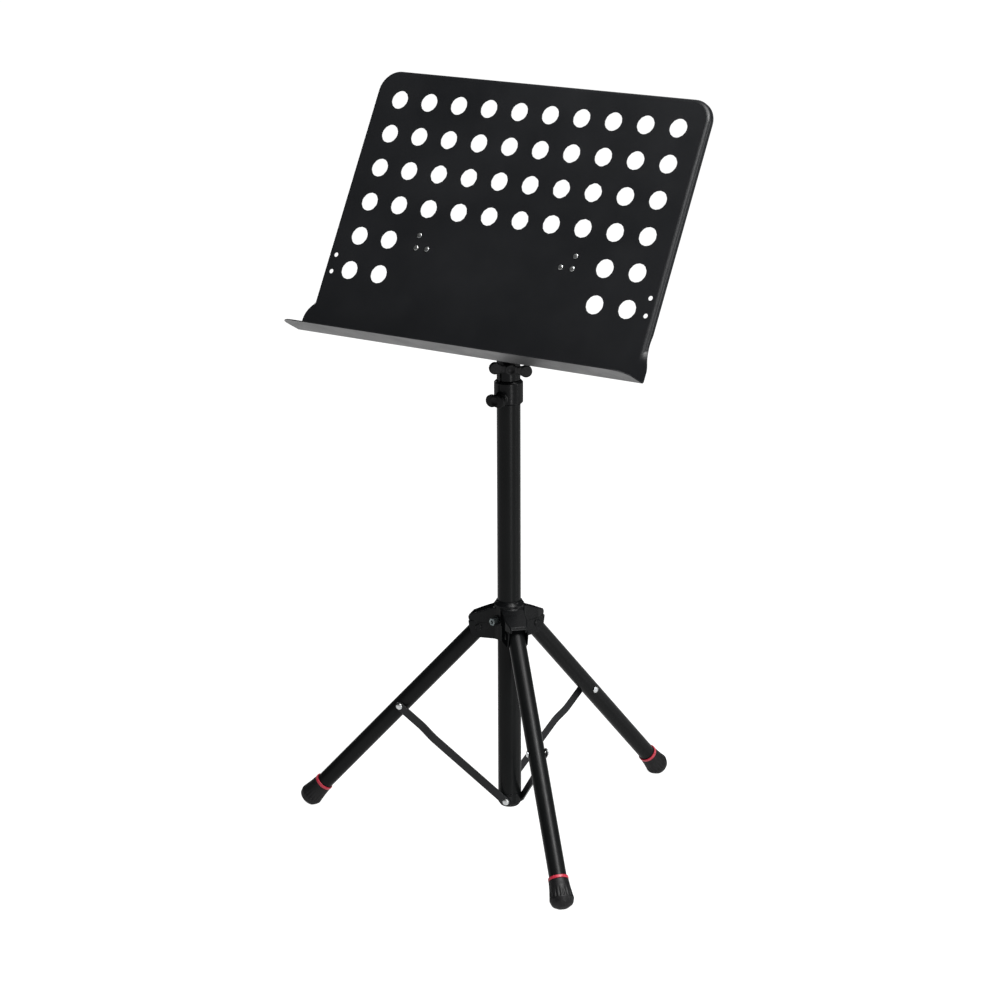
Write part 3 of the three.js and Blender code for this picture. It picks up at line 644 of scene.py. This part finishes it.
def end_plug():
    section = outline([
        (-1, PLUG_BOTTOM), (11, PLUG_BOTTOM), (POST_R, PLUG_BOTTOM + 6), (POST_R, POST_BOTTOM - GAP),
        (POST_BORE - GAP, POST_BOTTOM - GAP), (POST_BORE - GAP, POST_BOTTOM + 12), (-1, POST_BOTTOM + 12),
    ])

    def field(x, y, z):
        body = section(np.hypot(x, y), z)
        for azimuth in LEG_AZIMUTHS:
            across, along = spun(x, y, azimuth)
            disc = np.hypot(across, z - POST_PIN_Z) - POST_PAD_R
            pad = meet(disc, slab(along, 4, POST_R + 0.4), 0.5)
            body = fuse(body, pad, 1.2)
        return meet(body, PLUG_BOTTOM - z, 2.5)
    return sculpt(field, (-17, -17, PLUG_BOTTOM - 1), (17, 17, POST_BOTTOM + 14), 0.5)


def height_collar():
    bevel = 2.2
    section = outline([
        (-1, COLLAR_BOTTOM), (POST_R + 1, COLLAR_BOTTOM), (COLLAR_R, COLLAR_BOTTOM + bevel),
        (COLLAR_R, COLLAR_TOP - bevel), (POST_R + 1, COLLAR_TOP), (-1, COLLAR_TOP),
    ], 1.0)

    def field(x, y, z):
        body = section(np.hypot(x, y), z)
        seat = slab(y, GAP - HEIGHT_KNOB["start"], 0)
        body = fuse(body, meet(np.hypot(x, z - HEIGHT_KNOB_Z - 1) - SEAT_R, seat, 0.8), 2.0)
        out, across = spun(x, y, SLIT_AZIMUTH)
        slit = np.maximum(slab(across, -0.8, 0.8), np.maximum(HEIGHT_KNOB_Z + 3 - z, 5 - out))
        body = carve(body, slit, 0.5)
        bore = np.where(z < POST_TOP + GAP, POST_R + GAP, INNER_R + GAP)
        return carve(body, np.hypot(x, y) - bore, 0.5)
    return sculpt(field, (-20, -24, COLLAR_BOTTOM - 1), (20, 20, COLLAR_TOP + 1), 0.4)


def top_socket():
    section = outline([
        (-1, SOCKET_BOTTOM), (SOCKET_R, SOCKET_BOTTOM), (SOCKET_R, SOCKET_TOP - 2),
        (SOCKET_R - 2, SOCKET_TOP), (-1, SOCKET_TOP),
    ], 0.8)

    def field(x, y, z):
        radius = np.hypot(x, y)
        body = section(radius, z)
        out, across = spun(x, y, SOCKET_KNOB_AZIMUTH)
        seat = slab(out, 0, SOCKET_KNOB["start"] - GAP)
        body = fuse(body, meet(np.hypot(across, z - SOCKET_KNOB_Z) - SEAT_R, seat, 0.8), 2.0)
        out, across = spun(x, y, SLIT_AZIMUTH)
        slit = np.maximum(slab(across, -1.2, 1.2), np.maximum(z - SOCKET_BOTTOM - 15, 5 - out))
        body = carve(body, slit, 0.5)
        bore = np.where(z < INNER_TOP + GAP, INNER_R + GAP, SHAFT_R + GAP)
        return carve(body, radius - bore, 0.5)
    return sculpt(field, (-22, -22, SOCKET_BOTTOM - 1), (22, 22, SOCKET_TOP + 1), 0.4)


# ---- wing knobs
def knob_field(start, lobe_at, lobe_r, thickness):
    """A wing knob that faces -Y: two lobes on a round boss, dished in the middle."""
    outer = -start - thickness

    def field(x, y, z):
        lobes = np.minimum(np.hypot(x - lobe_at, z), np.hypot(x + lobe_at, z)) - lobe_r
        waist = np.maximum(np.abs(x) - lobe_at * 0.6, np.abs(z) - lobe_r * 0.62)
        wing = meet(fuse(lobes, waist, 4.0), slab(y, outer, outer + thickness * 0.62), 2.0)
        boss = meet(np.hypot(x, z) - KNOB_BOSS_R, slab(y, outer, -start), 0.8)
        body = fuse(wing, boss, 1.5)
        dish = np.hypot(np.hypot(x, z), y - outer + 9) - 10
        return carve(body, dish, 0.5)
    return field


def make_knob(prefix, at, tip, start, lobe_at, lobe_r, thickness):
    reach = lobe_at + lobe_r + 1
    low = (-reach, -start - thickness - 1, -lobe_r - 1)
    high = (reach, -start + 1, lobe_r + 1)
    make(prefix + "_knob", sculpt(knob_field(start, lobe_at, lobe_r, thickness), low, high, 0.45), at)
    screw = lathe(eased([(0, tip), (2.2, tip), (2.7, tip + 0.6), (2.7, start + 4), (0, start + 4)], 0.2), 32)
    make(prefix + "_screw", screw, at @ TO_MINUS_Y)


def make_knobs():
    make_knob("height", shift(z=HEIGHT_KNOB_Z), INNER_R + GAP, **HEIGHT_KNOB)
    at = shift(z=SOCKET_KNOB_Z) @ turn("Z", SOCKET_KNOB_AZIMUTH + 90) @ turn("Y", SOCKET_KNOB_TURN)
    make_knob("socket", at, SHAFT_R + GAP, **SOCKET_KNOB)


# ---- tripod
def hub():
    barrel_section = outline([
        (-1, HUB_BOTTOM), (HUB_R, HUB_BOTTOM), (HUB_R, HUB_TOP - 5), (HUB_R - 2.5, HUB_TOP - 1.5),
        (HUB_R - 3, HUB_TOP), (-1, HUB_TOP),
    ], 1.2)
    cheek_side = outline([
        (10, HUB_BOTTOM), (41, HUB_BOTTOM), (47, HUB_BOTTOM + 4), (50, HUB_BOTTOM + 14),
        (51, HOOD_BOTTOM + 1), (10, HOOD_BOTTOM + 1),
    ], 1.0)
    hood_side = outline([
        (10, HOOD_BOTTOM), (51, HOOD_BOTTOM), (ARM_TIP, HOOD_BOTTOM + 5), (ARM_TIP - 1.5, HOOD_BOTTOM + 8.5),
        (28, HOOD_BOTTOM + 17.5), (20, HOOD_BOTTOM + 21), (10, HOOD_BOTTOM + 22),
    ], 1.2)
    under = outline([
        (17, HUB_BOTTOM - 5), (60, HUB_BOTTOM - 5), (60, HOOD_BOTTOM + 2), (ARM_TIP - 2, HOOD_BOTTOM + 4.5),
        (28, HOOD_BOTTOM + 13.5), (17, HOOD_BOTTOM + 16),
    ])

    def arm(out, across, z, radius):
        width = np.abs(across)
        taper = (width - HOOD_OUTER + (out - TAPER_FROM) * TAPER) * 0.966
        space = np.maximum(under(out, z), HUB_R - radius)
        hood = meet(hood_side(out, z), np.maximum(width - HOOD_OUTER, taper), 1.3)
        hood = carve(hood, np.maximum(space, np.maximum(width - CHEEK_INNER, taper + HOOD_WALL)), 0.8)
        cheeks = meet(cheek_side(out, z), width - CHEEK_OUTER, 0.8)
        cheeks = carve(cheeks, np.maximum(space, width - CHEEK_INNER), 0.5)
        return fuse(hood, cheeks, 0.6)

    def field(x, y, z):
        radius = np.hypot(x, y)
        body = barrel_section(radius, z)
        for azimuth in LEG_AZIMUTHS:
            out, across = spun(x, y, azimuth)
            body = fuse(body, arm(out, across, z, radius), 2.0)
        out, across = spun(x, y, HUB_SCREW_AZIMUTH)
        boss = meet(np.hypot(across, z - HUB_SCREW_Z) - HUB_BOSS_R, slab(out, 0, HUB_BOSS_OUT), 0.5)
        body = fuse(body, boss, 1.2)
        body = meet(body, HUB_BOTTOM - z, 0.8)
        return carve(body, radius - POST_R - GAP, 0.8)
    return sculpt(field, (-54, -54, HUB_BOTTOM - 1.5), (54, 54, HUB_TOP + 1.5), 0.65)


def hexagon(x, y, z, across_flats, height):
    """A hexagonal prism on the plane z = 0, chamfered at its far end."""
    flats = np.maximum.reduce([np.abs(spun(x, y, a)[0]) for a in (0, 60, 120)]) - across_flats / 2
    prism = meet(flats, slab(z, 0, height), 0.25)
    return meet(prism, chamfer(np.hypot(x, y), z - height, across_flats), 0.2)


def chamfer(radius, beyond, across_flats):
    """The cone that trims a hexagon's corners at the end from which beyond is measured."""
    return (radius - across_flats * 0.56 + beyond * 1.7) * 0.5


def hex_head(across_flats, height, shank_r, shank, recess=0.0):
    """A screw's head on the plane z = 0, with its shank below and a recess as deep as its radius."""
    def field(x, y, z):
        head = hexagon(x, y, z, across_flats, height)
        if recess:
            head = carve(head, np.maximum(np.hypot(x, y) - recess, height - recess - z), 0.3)
        return fuse(head, meet(np.hypot(x, y) - shank_r, slab(z, -shank, 1), 0.3), 0.3)
    reach = across_flats * 0.6
    return sculpt(field, (-reach, -reach, -shank - 0.6), (reach, reach, height + 0.6), 0.3)


def hex_nut(across_flats, height, bore):
    def field(x, y, z):
        radius = np.hypot(x, y)
        body = hexagon(x, y, z, across_flats, height)
        body = meet(body, chamfer(radius, -z, across_flats), 0.2)
        return carve(body, radius - bore, 0.4)
    reach = across_flats * 0.6
    return sculpt(field, (-reach, -reach, -0.6), (reach, reach, height + 0.6), 0.35)


def make_hub():
    make("hub", hub())
    head_from = HUB_BOSS_OUT + GAP
    at = turn("Z", HUB_SCREW_AZIMUTH) @ shift(head_from, 0, HUB_SCREW_Z) @ TO_PLUS_X
    make("hub_screw", hex_head(shank=head_from - POST_R - 2 * GAP, **HUB_SCREW), at)
    for number, azimuth in enumerate(LEG_AZIMUTHS, 1):
        at = turn("Z", azimuth) @ shift(PIVOT_R, 0, PIVOT_Z) @ TO_PLUS_Y
        make(f"leg_pivot_{number}", pivot_pin(), at)


def pivot_pin():
    """A headed pin along Z, through the hub's cheeks."""
    half = CHEEK_OUTER
    corners = [(0, -half - 1.9), (3.4, -half - 1.9), (4.6, -half - 1), (4.6, -half - GAP), (3, -half - GAP),
               (3, half + GAP), (4.6, half + GAP), (4.6, half + 1), (3.4, half + 1.9), (0, half + 1.9)]
    return lathe(eased(corners, 0.4), 40)


# Leg pieces are drawn pointing down -Z from their pivot.
def make_legs():
    tube_end = -RING_AT - 26
    leg_tube = tube(LEG_R, LEG_BORE, tube_end, 6)
    plug = lathe(eased([
        (0, -16), (LEG_BORE - GAP, -16), (LEG_BORE - GAP, 6 + GAP), (LEG_R, 6 + GAP), (LEG_R - 1, 8.4, 1.5),
        (LEG_R - 3, 9), (0, 9),
    ], 0.4))
    ring = lathe(eased([
        (LEG_R + 1.75, -RING_AT - 1.9, 1.2), (LEG_R + 1.75, -RING_AT + 1.9, 1.2),
        (LEG_R + GAP, -RING_AT + 1.9), (LEG_R + GAP, -RING_AT - 1.9),
    ], 0.3, closed=True), closed=True)
    head = dome(*RIVET_HEAD)
    rivet = joined(
        placed(head, shift(y=BRACE_T_LEG + BRACE_SHEET / 2 + GAP) @ TO_PLUS_Y),
        placed(head, shift(y=-LEG_R - GAP) @ TO_MINUS_Y),
        placed(round_pin(RIVET_SHANK_R, -LEG_R - 1, BRACE_T_LEG + 2, 32), TO_PLUS_Y),
    )
    brace_mesh, lean, leg_pin = brace()
    for number, azimuth in enumerate(LEG_AZIMUTHS, 1):
        at = leg_at(azimuth)
        make(f"leg_tube_{number}", leg_tube, at)
        make(f"leg_plug_{number}", plug, at)
        make(f"leg_ring_{number}", ring, at)
        make(f"foot_{number}", foot(azimuth))
        make(f"brace_rivet_{number}", rivet, at @ shift(z=-BRACE_PIN_AT))
        hold = turn("Z", azimuth) @ shift(leg_pin[0], 0, leg_pin[1]) @ turn("Y", lean)
        make(f"brace_{number}", brace_mesh, hold)
        make(f"brace_pin_{number}", brace_pin(), hold @ shift(z=-math.dist(leg_pin, (0, POST_PIN_Z))))


def brace_pin():
    face = BRACE_T_POST + BRACE_SHEET / 2
    head = placed(dome(*RIVET_HEAD), shift(y=face + GAP) @ TO_PLUS_Y)
    return joined(head, placed(round_pin(RIVET_SHANK_R, face - BRACE_SHEET, face + 1, 32), TO_PLUS_Y))


def foot(azimuth):
    """Rubber boot with moulded flutes round its lower half, worn flat where it meets the floor."""
    top = -RING_AT - 2.2
    tip = -RING_AT - FOOT_LENGTH
    section = eased([
        (0, tip), (6, tip + 0.3, 6), (13.2, tip + 4.5, 6), (15.4, tip + 11.5, 4), (14.6, tip + 16, 8),
        (13.3, tip + 26, 30), (12.5, top, 0.8), (LEG_R + GAP, top, 0.4), (LEG_R + GAP, top - 4, 0.4),
        (0, top - 4),
    ], steps=7)
    dense = []
    for a, b in zip(section, section[1:]):
        parts = max(1, int(math.hypot(*(b[:2] - a[:2])) / 0.8))
        dense.extend(a + (b - a) * k / parts for k in range(parts))
    dense.append(section[-1])
    points, faces, _ = lathe(np.array(dense), 192)
    angle = np.arctan2(points[:, 1], points[:, 0])
    height = points[:, 2] - tip
    radius = np.hypot(points[:, 0], points[:, 1])
    window = np.clip((height - 11.5) / 1.6, 0, 1) * np.clip((27 - height) / 12, 0, 1)
    groove = 0.5 + 0.5 * np.cos(FLUTES * angle)
    depth = FLUTE_DEPTH * np.where(radius > LEG_R + 1, window, 0) * np.clip(1.6 * groove - 0.5, 0, 1)
    points[:, :2] *= (1 - depth / np.maximum(radius, 1))[:, None]
    points, faces, _ = placed((points, faces, None), leg_at(azimuth))
    points[:, 2] = np.maximum(points[:, 2], 0)
    return points, faces, None


def brace():
    """A flat strut from the leg's rivet down to the pad at the post's foot, with a set in it."""
    leg = math.radians(LEG_ANGLE)
    leg_pin = (PIVOT_R + BRACE_PIN_AT * math.sin(leg), PIVOT_Z - BRACE_PIN_AT * math.cos(leg))
    length = math.dist(leg_pin, (0, POST_PIN_Z))
    lean = math.degrees(math.atan2(leg_pin[0], leg_pin[1] - POST_PIN_Z))
    half = BRACE_WIDTH / 2 - 0.35
    arc = [math.radians(a) for a in (6, 14, 24, 36, 50, 64, 78, 90)]
    stations = [(-half * math.cos(a), half * math.sin(a)) for a in arc]
    stations += [(u, half) for u in np.linspace(8, length - 8, 90)]
    stations += [(length + half * math.cos(a), half * math.sin(a)) for a in arc[::-1]]
    lines = (-1.0, -0.92, -0.4, 0.4, 0.92, 1.0)
    set_from, set_to = length - 150, length - 122

    def offset(u):
        t = np.clip((u - set_from) / (set_to - set_from), 0, 1)
        return BRACE_T_LEG + (BRACE_T_POST - BRACE_T_LEG) * t * t * (3 - 2 * t)
    points, normals = [], []
    for u, width in stations:
        slope = (offset(u + 0.1) - offset(u - 0.1)) / 0.2
        normal = np.array([0, 1, slope]) / math.hypot(1, slope)
        for line in lines:
            points.append([width * line, offset(u), -u])
            normals.append(normal)
    faces = grid_faces(len(stations), len(lines))
    mesh = thickened(np.array(points), faces, np.array(normals), BRACE_SHEET, 0.5)
    return mesh, lean, leg_pin


# ---- tilt head
def make_head():
    make("desk_shaft", tube(SHAFT_R, SHAFT_R - 1.5, *level_range("desk_shaft")))
    make("tilt_body", tilt_body())
    side = TILT_HALF + GAP
    bolt_at = shift(-side, TILT_BOLT_Y, TILT_BOLT_Z) @ TO_MINUS_X
    nut_at = shift(side, TILT_BOLT_Y, TILT_BOLT_Z) @ TO_PLUS_X
    make("tilt_bolt", hex_head(TILT_BOLT_FLATS, TILT_BOLT_HEAD, 2.5, 32), bolt_at)
    make("tilt_nut", hex_nut(TILT_BOLT_FLATS, TILT_BOLT_HEAD, 2.8), nut_at)


def tilt_body():
    neck = outline([
        (-1, TILT_Z - 34), (13, TILT_Z - 34), (14.5, TILT_Z - 30), (14.5, TILT_Z - 4), (-1, TILT_Z - 4),
    ])

    def field(x, y, z):
        width = slab(x, -TILT_HALF, TILT_HALF)
        barrel = meet(np.hypot(y, z - TILT_Z) - 13, width, 1.0)
        body = fuse(barrel, neck(np.hypot(x, y), z), 1.5)
        lug = meet(meet(width, slab(y, 0, 22), 2.0), slab(z, TILT_Z - 22, TILT_Z - 6), 2.0)
        body = fuse(body, lug, 2.0)
        body = carve(body, np.hypot(y, z - TILT_Z) - ROD_R - GAP, 0.5)
        shaft = np.maximum(np.hypot(x, y) - SHAFT_R - GAP, z - TILT_Z + 14 - GAP)
        body = carve(body, shaft, 0.4)
        slit = np.maximum(np.abs(x) - 1, 10.5 - y)
        return carve(body, slit, 0.4)
    return sculpt(field, (-16, -16, TILT_Z - 35), (16, 24, TILT_Z + 14.5), 0.55)


# ---- desk
BEND_R = 5.0                          # middle radius of the rim's bend
LEDGE_BEND_R = 3.0
FACE_MID = FACE_Y + SHEET / 2
LEDGE_MID = DESK_BEND + SHEET / 2
BEND_LINE = DESK_HALF - SHEET / 2 - BEND_R
FACE_BOTTOM = LEDGE_MID + LEDGE_BEND_R
FLARE_FROM = DESK_BEND + 50           # the sides widen from here down to FLARE_TO
FLARE_TO = DESK_BEND + 14
RIM_FULL = DESK_BEND + 66             # the rim's flange is full depth above here
RIM_END = DESK_BEND + 42              # and fades out by here
FLANGE = RIM_DEPTH - SHEET / 2 - BEND_R - LIP
SPREAD = DESK_HALF_FLAT - BEND_LINE - LIP - BEND_R


def smooth(t):
    t = min(max(t, 0.0), 1.0)
    return t * t * (3 - 2 * t)


def rim_profile(z):
    """Angle of the rim's bend and length of its straight part, at a height up the sheet."""
    flare = 1 - smooth((z - FLARE_TO) / (FLARE_FROM - FLARE_TO))
    angle = math.pi / 2 * (1 - flare) ** 3
    flange = FLANGE * smooth((z - RIM_END) / (RIM_FULL - RIM_END))
    if flare > 1e-3:
        skirt = (BEND_R + SPREAD * flare - BEND_R * math.sin(angle)) / math.cos(angle)
        return angle, (skirt ** 3 + flange ** 3) ** (1 / 3)
    skirt = 2 * SPREAD / (3 * math.pi)
    return angle, min((skirt ** 3 + flange ** 3) ** (1 / 3), FLANGE)


def rim_stations():
    """Rows along the rim's bend line, up the left side, over the top and down the right side.
    Each is (x, z, outward x, outward z, bend angle, straight length)."""
    top = DESK_TOP - SHEET / 2 - BEND_R
    corner = DESK_CORNER - SHEET / 2 - BEND_R
    centre_x, centre_z = BEND_LINE - corner, top - corner
    up = list(np.linspace(FACE_BOTTOM, RIM_FULL, 48)) + list(np.linspace(RIM_FULL, centre_z, 14))[1:]
    left = [(-BEND_LINE, z, -1.0, 0.0, *rim_profile(z)) for z in up]
    full = (math.pi / 2, FLANGE)
    for k in range(1, 17):
        a = math.pi - k * math.pi / 32
        x, z = -centre_x + corner * math.cos(a), centre_z + corner * math.sin(a)
        left.append((x, z, math.cos(a), math.sin(a), *full))
    across = [(x, top, 0.0, 1.0, *full) for x in np.linspace(-centre_x, centre_x, 24)[1:-1]]
    right = [(-x, z, -nx, nz, *shape) for x, z, nx, nz, *shape in left[::-1]]
    return left + across + right


def rim_row(angle, straight):
    """Distances along the sheet from the bend line: even where it is flat, closer in the bend."""
    arc = BEND_R * angle
    length = arc + straight
    bent = [arc * k / 8 for k in range(9)] + [arc + straight * t for t in (0.35, 0.7, 1.0)]
    even = [length * k / 11 for k in range(12)]
    share = angle / (math.pi / 2)
    return [b * share + e * (1 - share) for b, e in zip(bent, even)]


def rim_grid():
    stations = rim_stations()
    points, tangents, sides = [], [], []
    for x, z, nx, nz, most, straight in stations:
        row = rim_row(most, straight)
        for t in row:
            angle = min(t / BEND_R, most)
            rest = t - angle * BEND_R
            c, s = math.cos(angle), math.sin(angle)
            out, back = BEND_R * s + rest * c, BEND_R * (1 - c) + rest * s
            points.append([x + nx * out, FACE_MID + back, z + nz * out])
            tangents.append([nx * c, s, nz * c])
            sides.append([nx * s, -c, nz * s])
    rows, columns = len(stations), len(row)
    points = np.array(points)
    grid = points.reshape(rows, columns, 3)
    along = np.gradient(grid, axis=0).reshape(-1, 3)
    normals = np.cross(along, np.array(tangents))
    normals /= np.linalg.norm(normals, axis=1)[:, None]
    normals *= np.sign((normals * np.array(sides)).sum(1))[:, None]
    normals = normals.reshape(rows, columns, 3)
    normals[:, 0] = (0, -1, 0)
    return points, grid_faces(rows, columns), normals.reshape(-1, 3), columns


def hole_list():
    holes = []
    for row in range(HOLE_ROWS):
        for column in range(HOLE_COLUMNS):
            if row < FULL_HOLE_ROWS or column < 2 or column >= HOLE_COLUMNS - 2:
                x = (column - (HOLE_COLUMNS - 1) / 2) * HOLE_PITCH
                holes.append((x, FIRST_ROW - row * HOLE_PITCH, HOLE_R + LIP, 56))
    for hand in (-1, 1):
        holes += [(hand * x, z, SIDE_HOLE_R + LIP, 28) for x, z in SIDE_HOLES]
    return holes


def desk_panel():
    rim_points, rim_faces, rim_normals, columns = rim_grid()
    inner = rim_points[::columns]
    bottom = [(x, FACE_BOTTOM) for x in np.linspace(BEND_LINE, -BEND_LINE, 60)[1:-1]]
    border = [(p[0], p[2]) for p in inner] + bottom
    flat, triangles = filled(border[::-1], hole_list())
    face_points = np.column_stack([flat[:, 0], np.full(len(flat), FACE_MID), flat[:, 1]])
    face = (face_points, triangles, np.tile([0.0, -1.0, 0.0], (len(flat), 1)))
    left_end = rim_points[:columns][::-1]
    right_end = rim_points[-columns:]
    row_x = [p[0] for p in left_end] + [x for x, _ in bottom[::-1]] + [p[0] for p in right_end]
    turns = [(math.cos(k / 8 * math.pi / 2), math.sin(k / 8 * math.pi / 2)) for k in range(9)]
    bend_points = [(x, FACE_MID - LEDGE_BEND_R * (1 - c), FACE_BOTTOM - LEDGE_BEND_R * s)
                   for c, s in turns for x in row_x]
    bend_normals = [(0, -c, s) for c, s in turns for _ in row_x]
    bend = (np.array(bend_points), grid_faces(len(turns), len(row_x), flip=True), np.array(bend_normals))
    ledge_back = FACE_MID - LEDGE_BEND_R
    front = FACE_Y - LEDGE_DEPTH + LIP
    half = DESK_HALF_FLAT - LIP
    corner = LEDGE_CORNER - LIP
    arc = [(half - corner + corner * math.sin(a), front + corner - corner * math.cos(a))
           for a in np.linspace(0, math.pi / 2, 17)]
    ledge_border = [(x, ledge_back) for x in row_x]
    ledge_border += arc[::-1] + [(-x, y) for x, y in arc]
    ledge_flat, ledge_triangles = filled(ledge_border[::-1], [])
    ledge_points = np.column_stack([ledge_flat, np.full(len(ledge_flat), LEDGE_MID)])
    ledge = (ledge_points, ledge_triangles, np.tile([0.0, 0.0, 1.0], (len(ledge_flat), 1)))
    rim = (rim_points, rim_faces, rim_normals)
    points, faces, normals = welded(face, ledge, rim, bend)
    return thickened(points, facing(points, faces, normals), normals, SHEET, LIP)


def facing(points, faces, normals):
    """Turns each face so that it looks the way its points' normals do."""
    kept = []
    for face in faces:
        a, b, c = points[face[:3]]
        looks = np.cross(b - a, c - a) @ normals[face].sum(0)
        kept.append(face if looks > 0 else face[::-1])
    return kept


def bracket():
    """Bent plate behind the right half of the desk: a riveted foot and an ear that holds the rod."""
    front = FACE_Y + SHEET + GAP
    plate_outline = outline([(EAR_X - 2, -16), (124, -16), (124, 14), (116, 18), (108, 18), (EAR_X - 2, 12)])
    ear_outline = outline([(front, -16), (front, 12), (-2, 9.5), (-2, -9.5), (-16, -13)])
    bend_r = 3.0

    def field(x, y, z):
        plate = meet(plate_outline(x, z), slab(y, front - 3, front + BRACKET_SHEET), 0.3)
        boss = np.hypot(y, z) - 9
        ear = meet(fuse(ear_outline(y, z), boss, 6.0), slab(x, EAR_X - 3, EAR_X + BRACKET_SHEET), 0.3)
        body = np.minimum(plate, ear)
        u, v = x - EAR_X, y - front
        corner = np.hypot(np.minimum(u - bend_r, 0), np.minimum(v - bend_r, 0))
        outer = np.where((u < bend_r) & (v < bend_r), corner - bend_r, np.maximum(-u, -v))
        inner = np.where((u < bend_r) & (v < bend_r), bend_r - BRACKET_SHEET - corner,
                         np.minimum(u - BRACKET_SHEET, v - BRACKET_SHEET))
        body = meet(np.maximum(body, outer), inner, 0.3)
        return carve(body, np.hypot(y, z) - ROD_R - GAP, 0.3)
    return sculpt(field, (EAR_X - 1.5, front - 1.5, -18), (126, 11, 20), 0.5)


def tilt_rod():
    """Cross rod with rolled threads at both ends."""
    end = EAR_X + 8
    thread_from, pitch = EAR_X - 8, 1.25
    right = [(ROD_R, thread_from)]
    turns = int((end - thread_from) / pitch) - 1
    for k in range(turns):
        z = thread_from + k * pitch
        right += [(ROD_R - 0.55, z + pitch * 0.5), (ROD_R - 0.05, z + pitch)]
    right += [(ROD_R - 0.9, end), (0, end)]
    left = [(r, -z) for r, z in right[::-1]]
    return placed(lathe(eased(left + right, 0.15, steps=2), 48), TO_PLUS_X)


def desk_rivet():
    back = FACE_Y + SHEET + GAP + BRACKET_SHEET
    return joined(
        placed(dome(3.4, 1.1), shift(y=FACE_Y - GAP) @ TO_MINUS_Y),
        placed(dome(3.2, 1.4), shift(y=back + GAP) @ TO_PLUS_Y),
        placed(round_pin(2, FACE_Y - 0.6, back + 0.6, 24), TO_PLUS_Y),
    )


def make_desk():
    make("desk_panel", desk_panel(), DESK_AT)
    make("tilt_rod", tilt_rod(), DESK_AT)
    plate = bracket()
    nut = hex_nut(ROD_NUT_FLATS, 5 - GAP, ROD_R + 0.1)
    nut = placed(nut, shift(x=EAR_X + BRACKET_SHEET + GAP) @ TO_PLUS_X)
    rivet = desk_rivet()
    for name, hand in (("left", -1), ("right", 1)):
        make(f"bracket_{name}", plate if hand > 0 else mirrored(plate), DESK_AT)
        make(f"rod_nut_{name}", nut if hand > 0 else mirrored(nut), DESK_AT)
        for k, (x, z) in enumerate(RIVET_SPOTS):
            make(f"desk_rivet_{name}_{k + 1}", rivet, DESK_AT @ shift(hand * x, 0, z))


# ---- stage, light and camera
def emitter(name, position, target, width, height, power):
    data = bpy.data.lights.new(name, "AREA")
    data.shape = "RECTANGLE"
    data.size = width
    data.size_y = height
    data.energy = power
    light = bpy.data.objects.new(name, data)
    light.location = position
    aim = Vector(target) - Vector(position)
    light.rotation_mode = "QUATERNION"
    light.rotation_quaternion = aim.to_track_quat("-Z", "Y")
    bpy.context.scene.collection.objects.link(light)


def make_stage():
    reach = 30.0
    data = bpy.data.meshes.new("floor")
    corners = [(-reach, -reach, 0), (reach, -reach, 0), (reach, reach, 0), (-reach, reach, 0)]
    data.from_pydata(corners, [], [(0, 1, 2, 3)])
    floor = bpy.data.objects.new("floor", data)
    bpy.context.scene.collection.objects.link(floor)
    n = Nodes("floor_white")
    n.set(Base_Color=(0.12, 0.12, 0.12, 1), Roughness=0.15, IOR=1.35)
    n.set(Emission_Color=(1, 1, 1, 1), Emission_Strength=1.0)
    data.materials.append(n.material)
    world = bpy.data.worlds.new("studio")
    world.use_nodes = True
    background = world.node_tree.nodes["Background"]
    background.inputs["Color"].default_value = (1, 1, 1, 1)
    background.inputs["Strength"].default_value = 0.07
    bpy.context.scene.world = world
    middle = POST_AXIS + (0, 0, 0.5)
    level = POST_AXIS + (0, 0, 0.65)
    low_down = POST_AXIS + (0.1, -0.1, 0.15)
    emitter("overhead", (1.0, -0.3, 3.2), middle, 2.8, 2.4, 210)
    emitter("strip", (1.85, -1.2, 0.65), level, 0.3, 1.25, 24)
    emitter("rim_strip", (2.44, 0.9, 0.85), level, 0.35, 1.3, 22)
    emitter("leg_key", (1.85, -0.65, 3.0), low_down, 0.7, 0.7, 80)
    emitter("back_soft", (-0.75, 1.7, 3.0), low_down, 1.6, 1.6, 12)
    emitter("edge_strip", (-2.5, 1.4, 1.1), low_down, 0.5, 1.2, 14)


def make_camera():
    position = Vector(POST_AXIS) + Vector((2.0485, -2.9763, 1.4862))
    target = Vector(POST_AXIS) + Vector((-0.0092, -0.0064, 0.4406))
    data = bpy.data.cameras.new("camera")
    data.lens = 107.16
    data.sensor_width = 36
    data.clip_end = 100
    camera = bpy.data.objects.new("camera", data)
    bpy.context.scene.collection.objects.link(camera)
    camera.location = position
    roll = math.radians(0.216)
    camera.rotation_mode = "QUATERNION"
    look = (target - position).to_track_quat("-Z", "Y")
    camera.rotation_quaternion = look @ Matrix.Rotation(-roll, 3, "Z").to_quaternion()
    bpy.context.scene.camera = camera
    bpy.context.scene.view_settings.view_transform = "Standard"


for node, cad in frame["nodes"].items():
    cad.data.materials.clear()
    cad.data.materials.append(MATERIALS[SLOT[node]])

make_post()
make_knobs()
make_hub()
make_legs()
make_head()
make_desk()
make_stage()
make_camera()
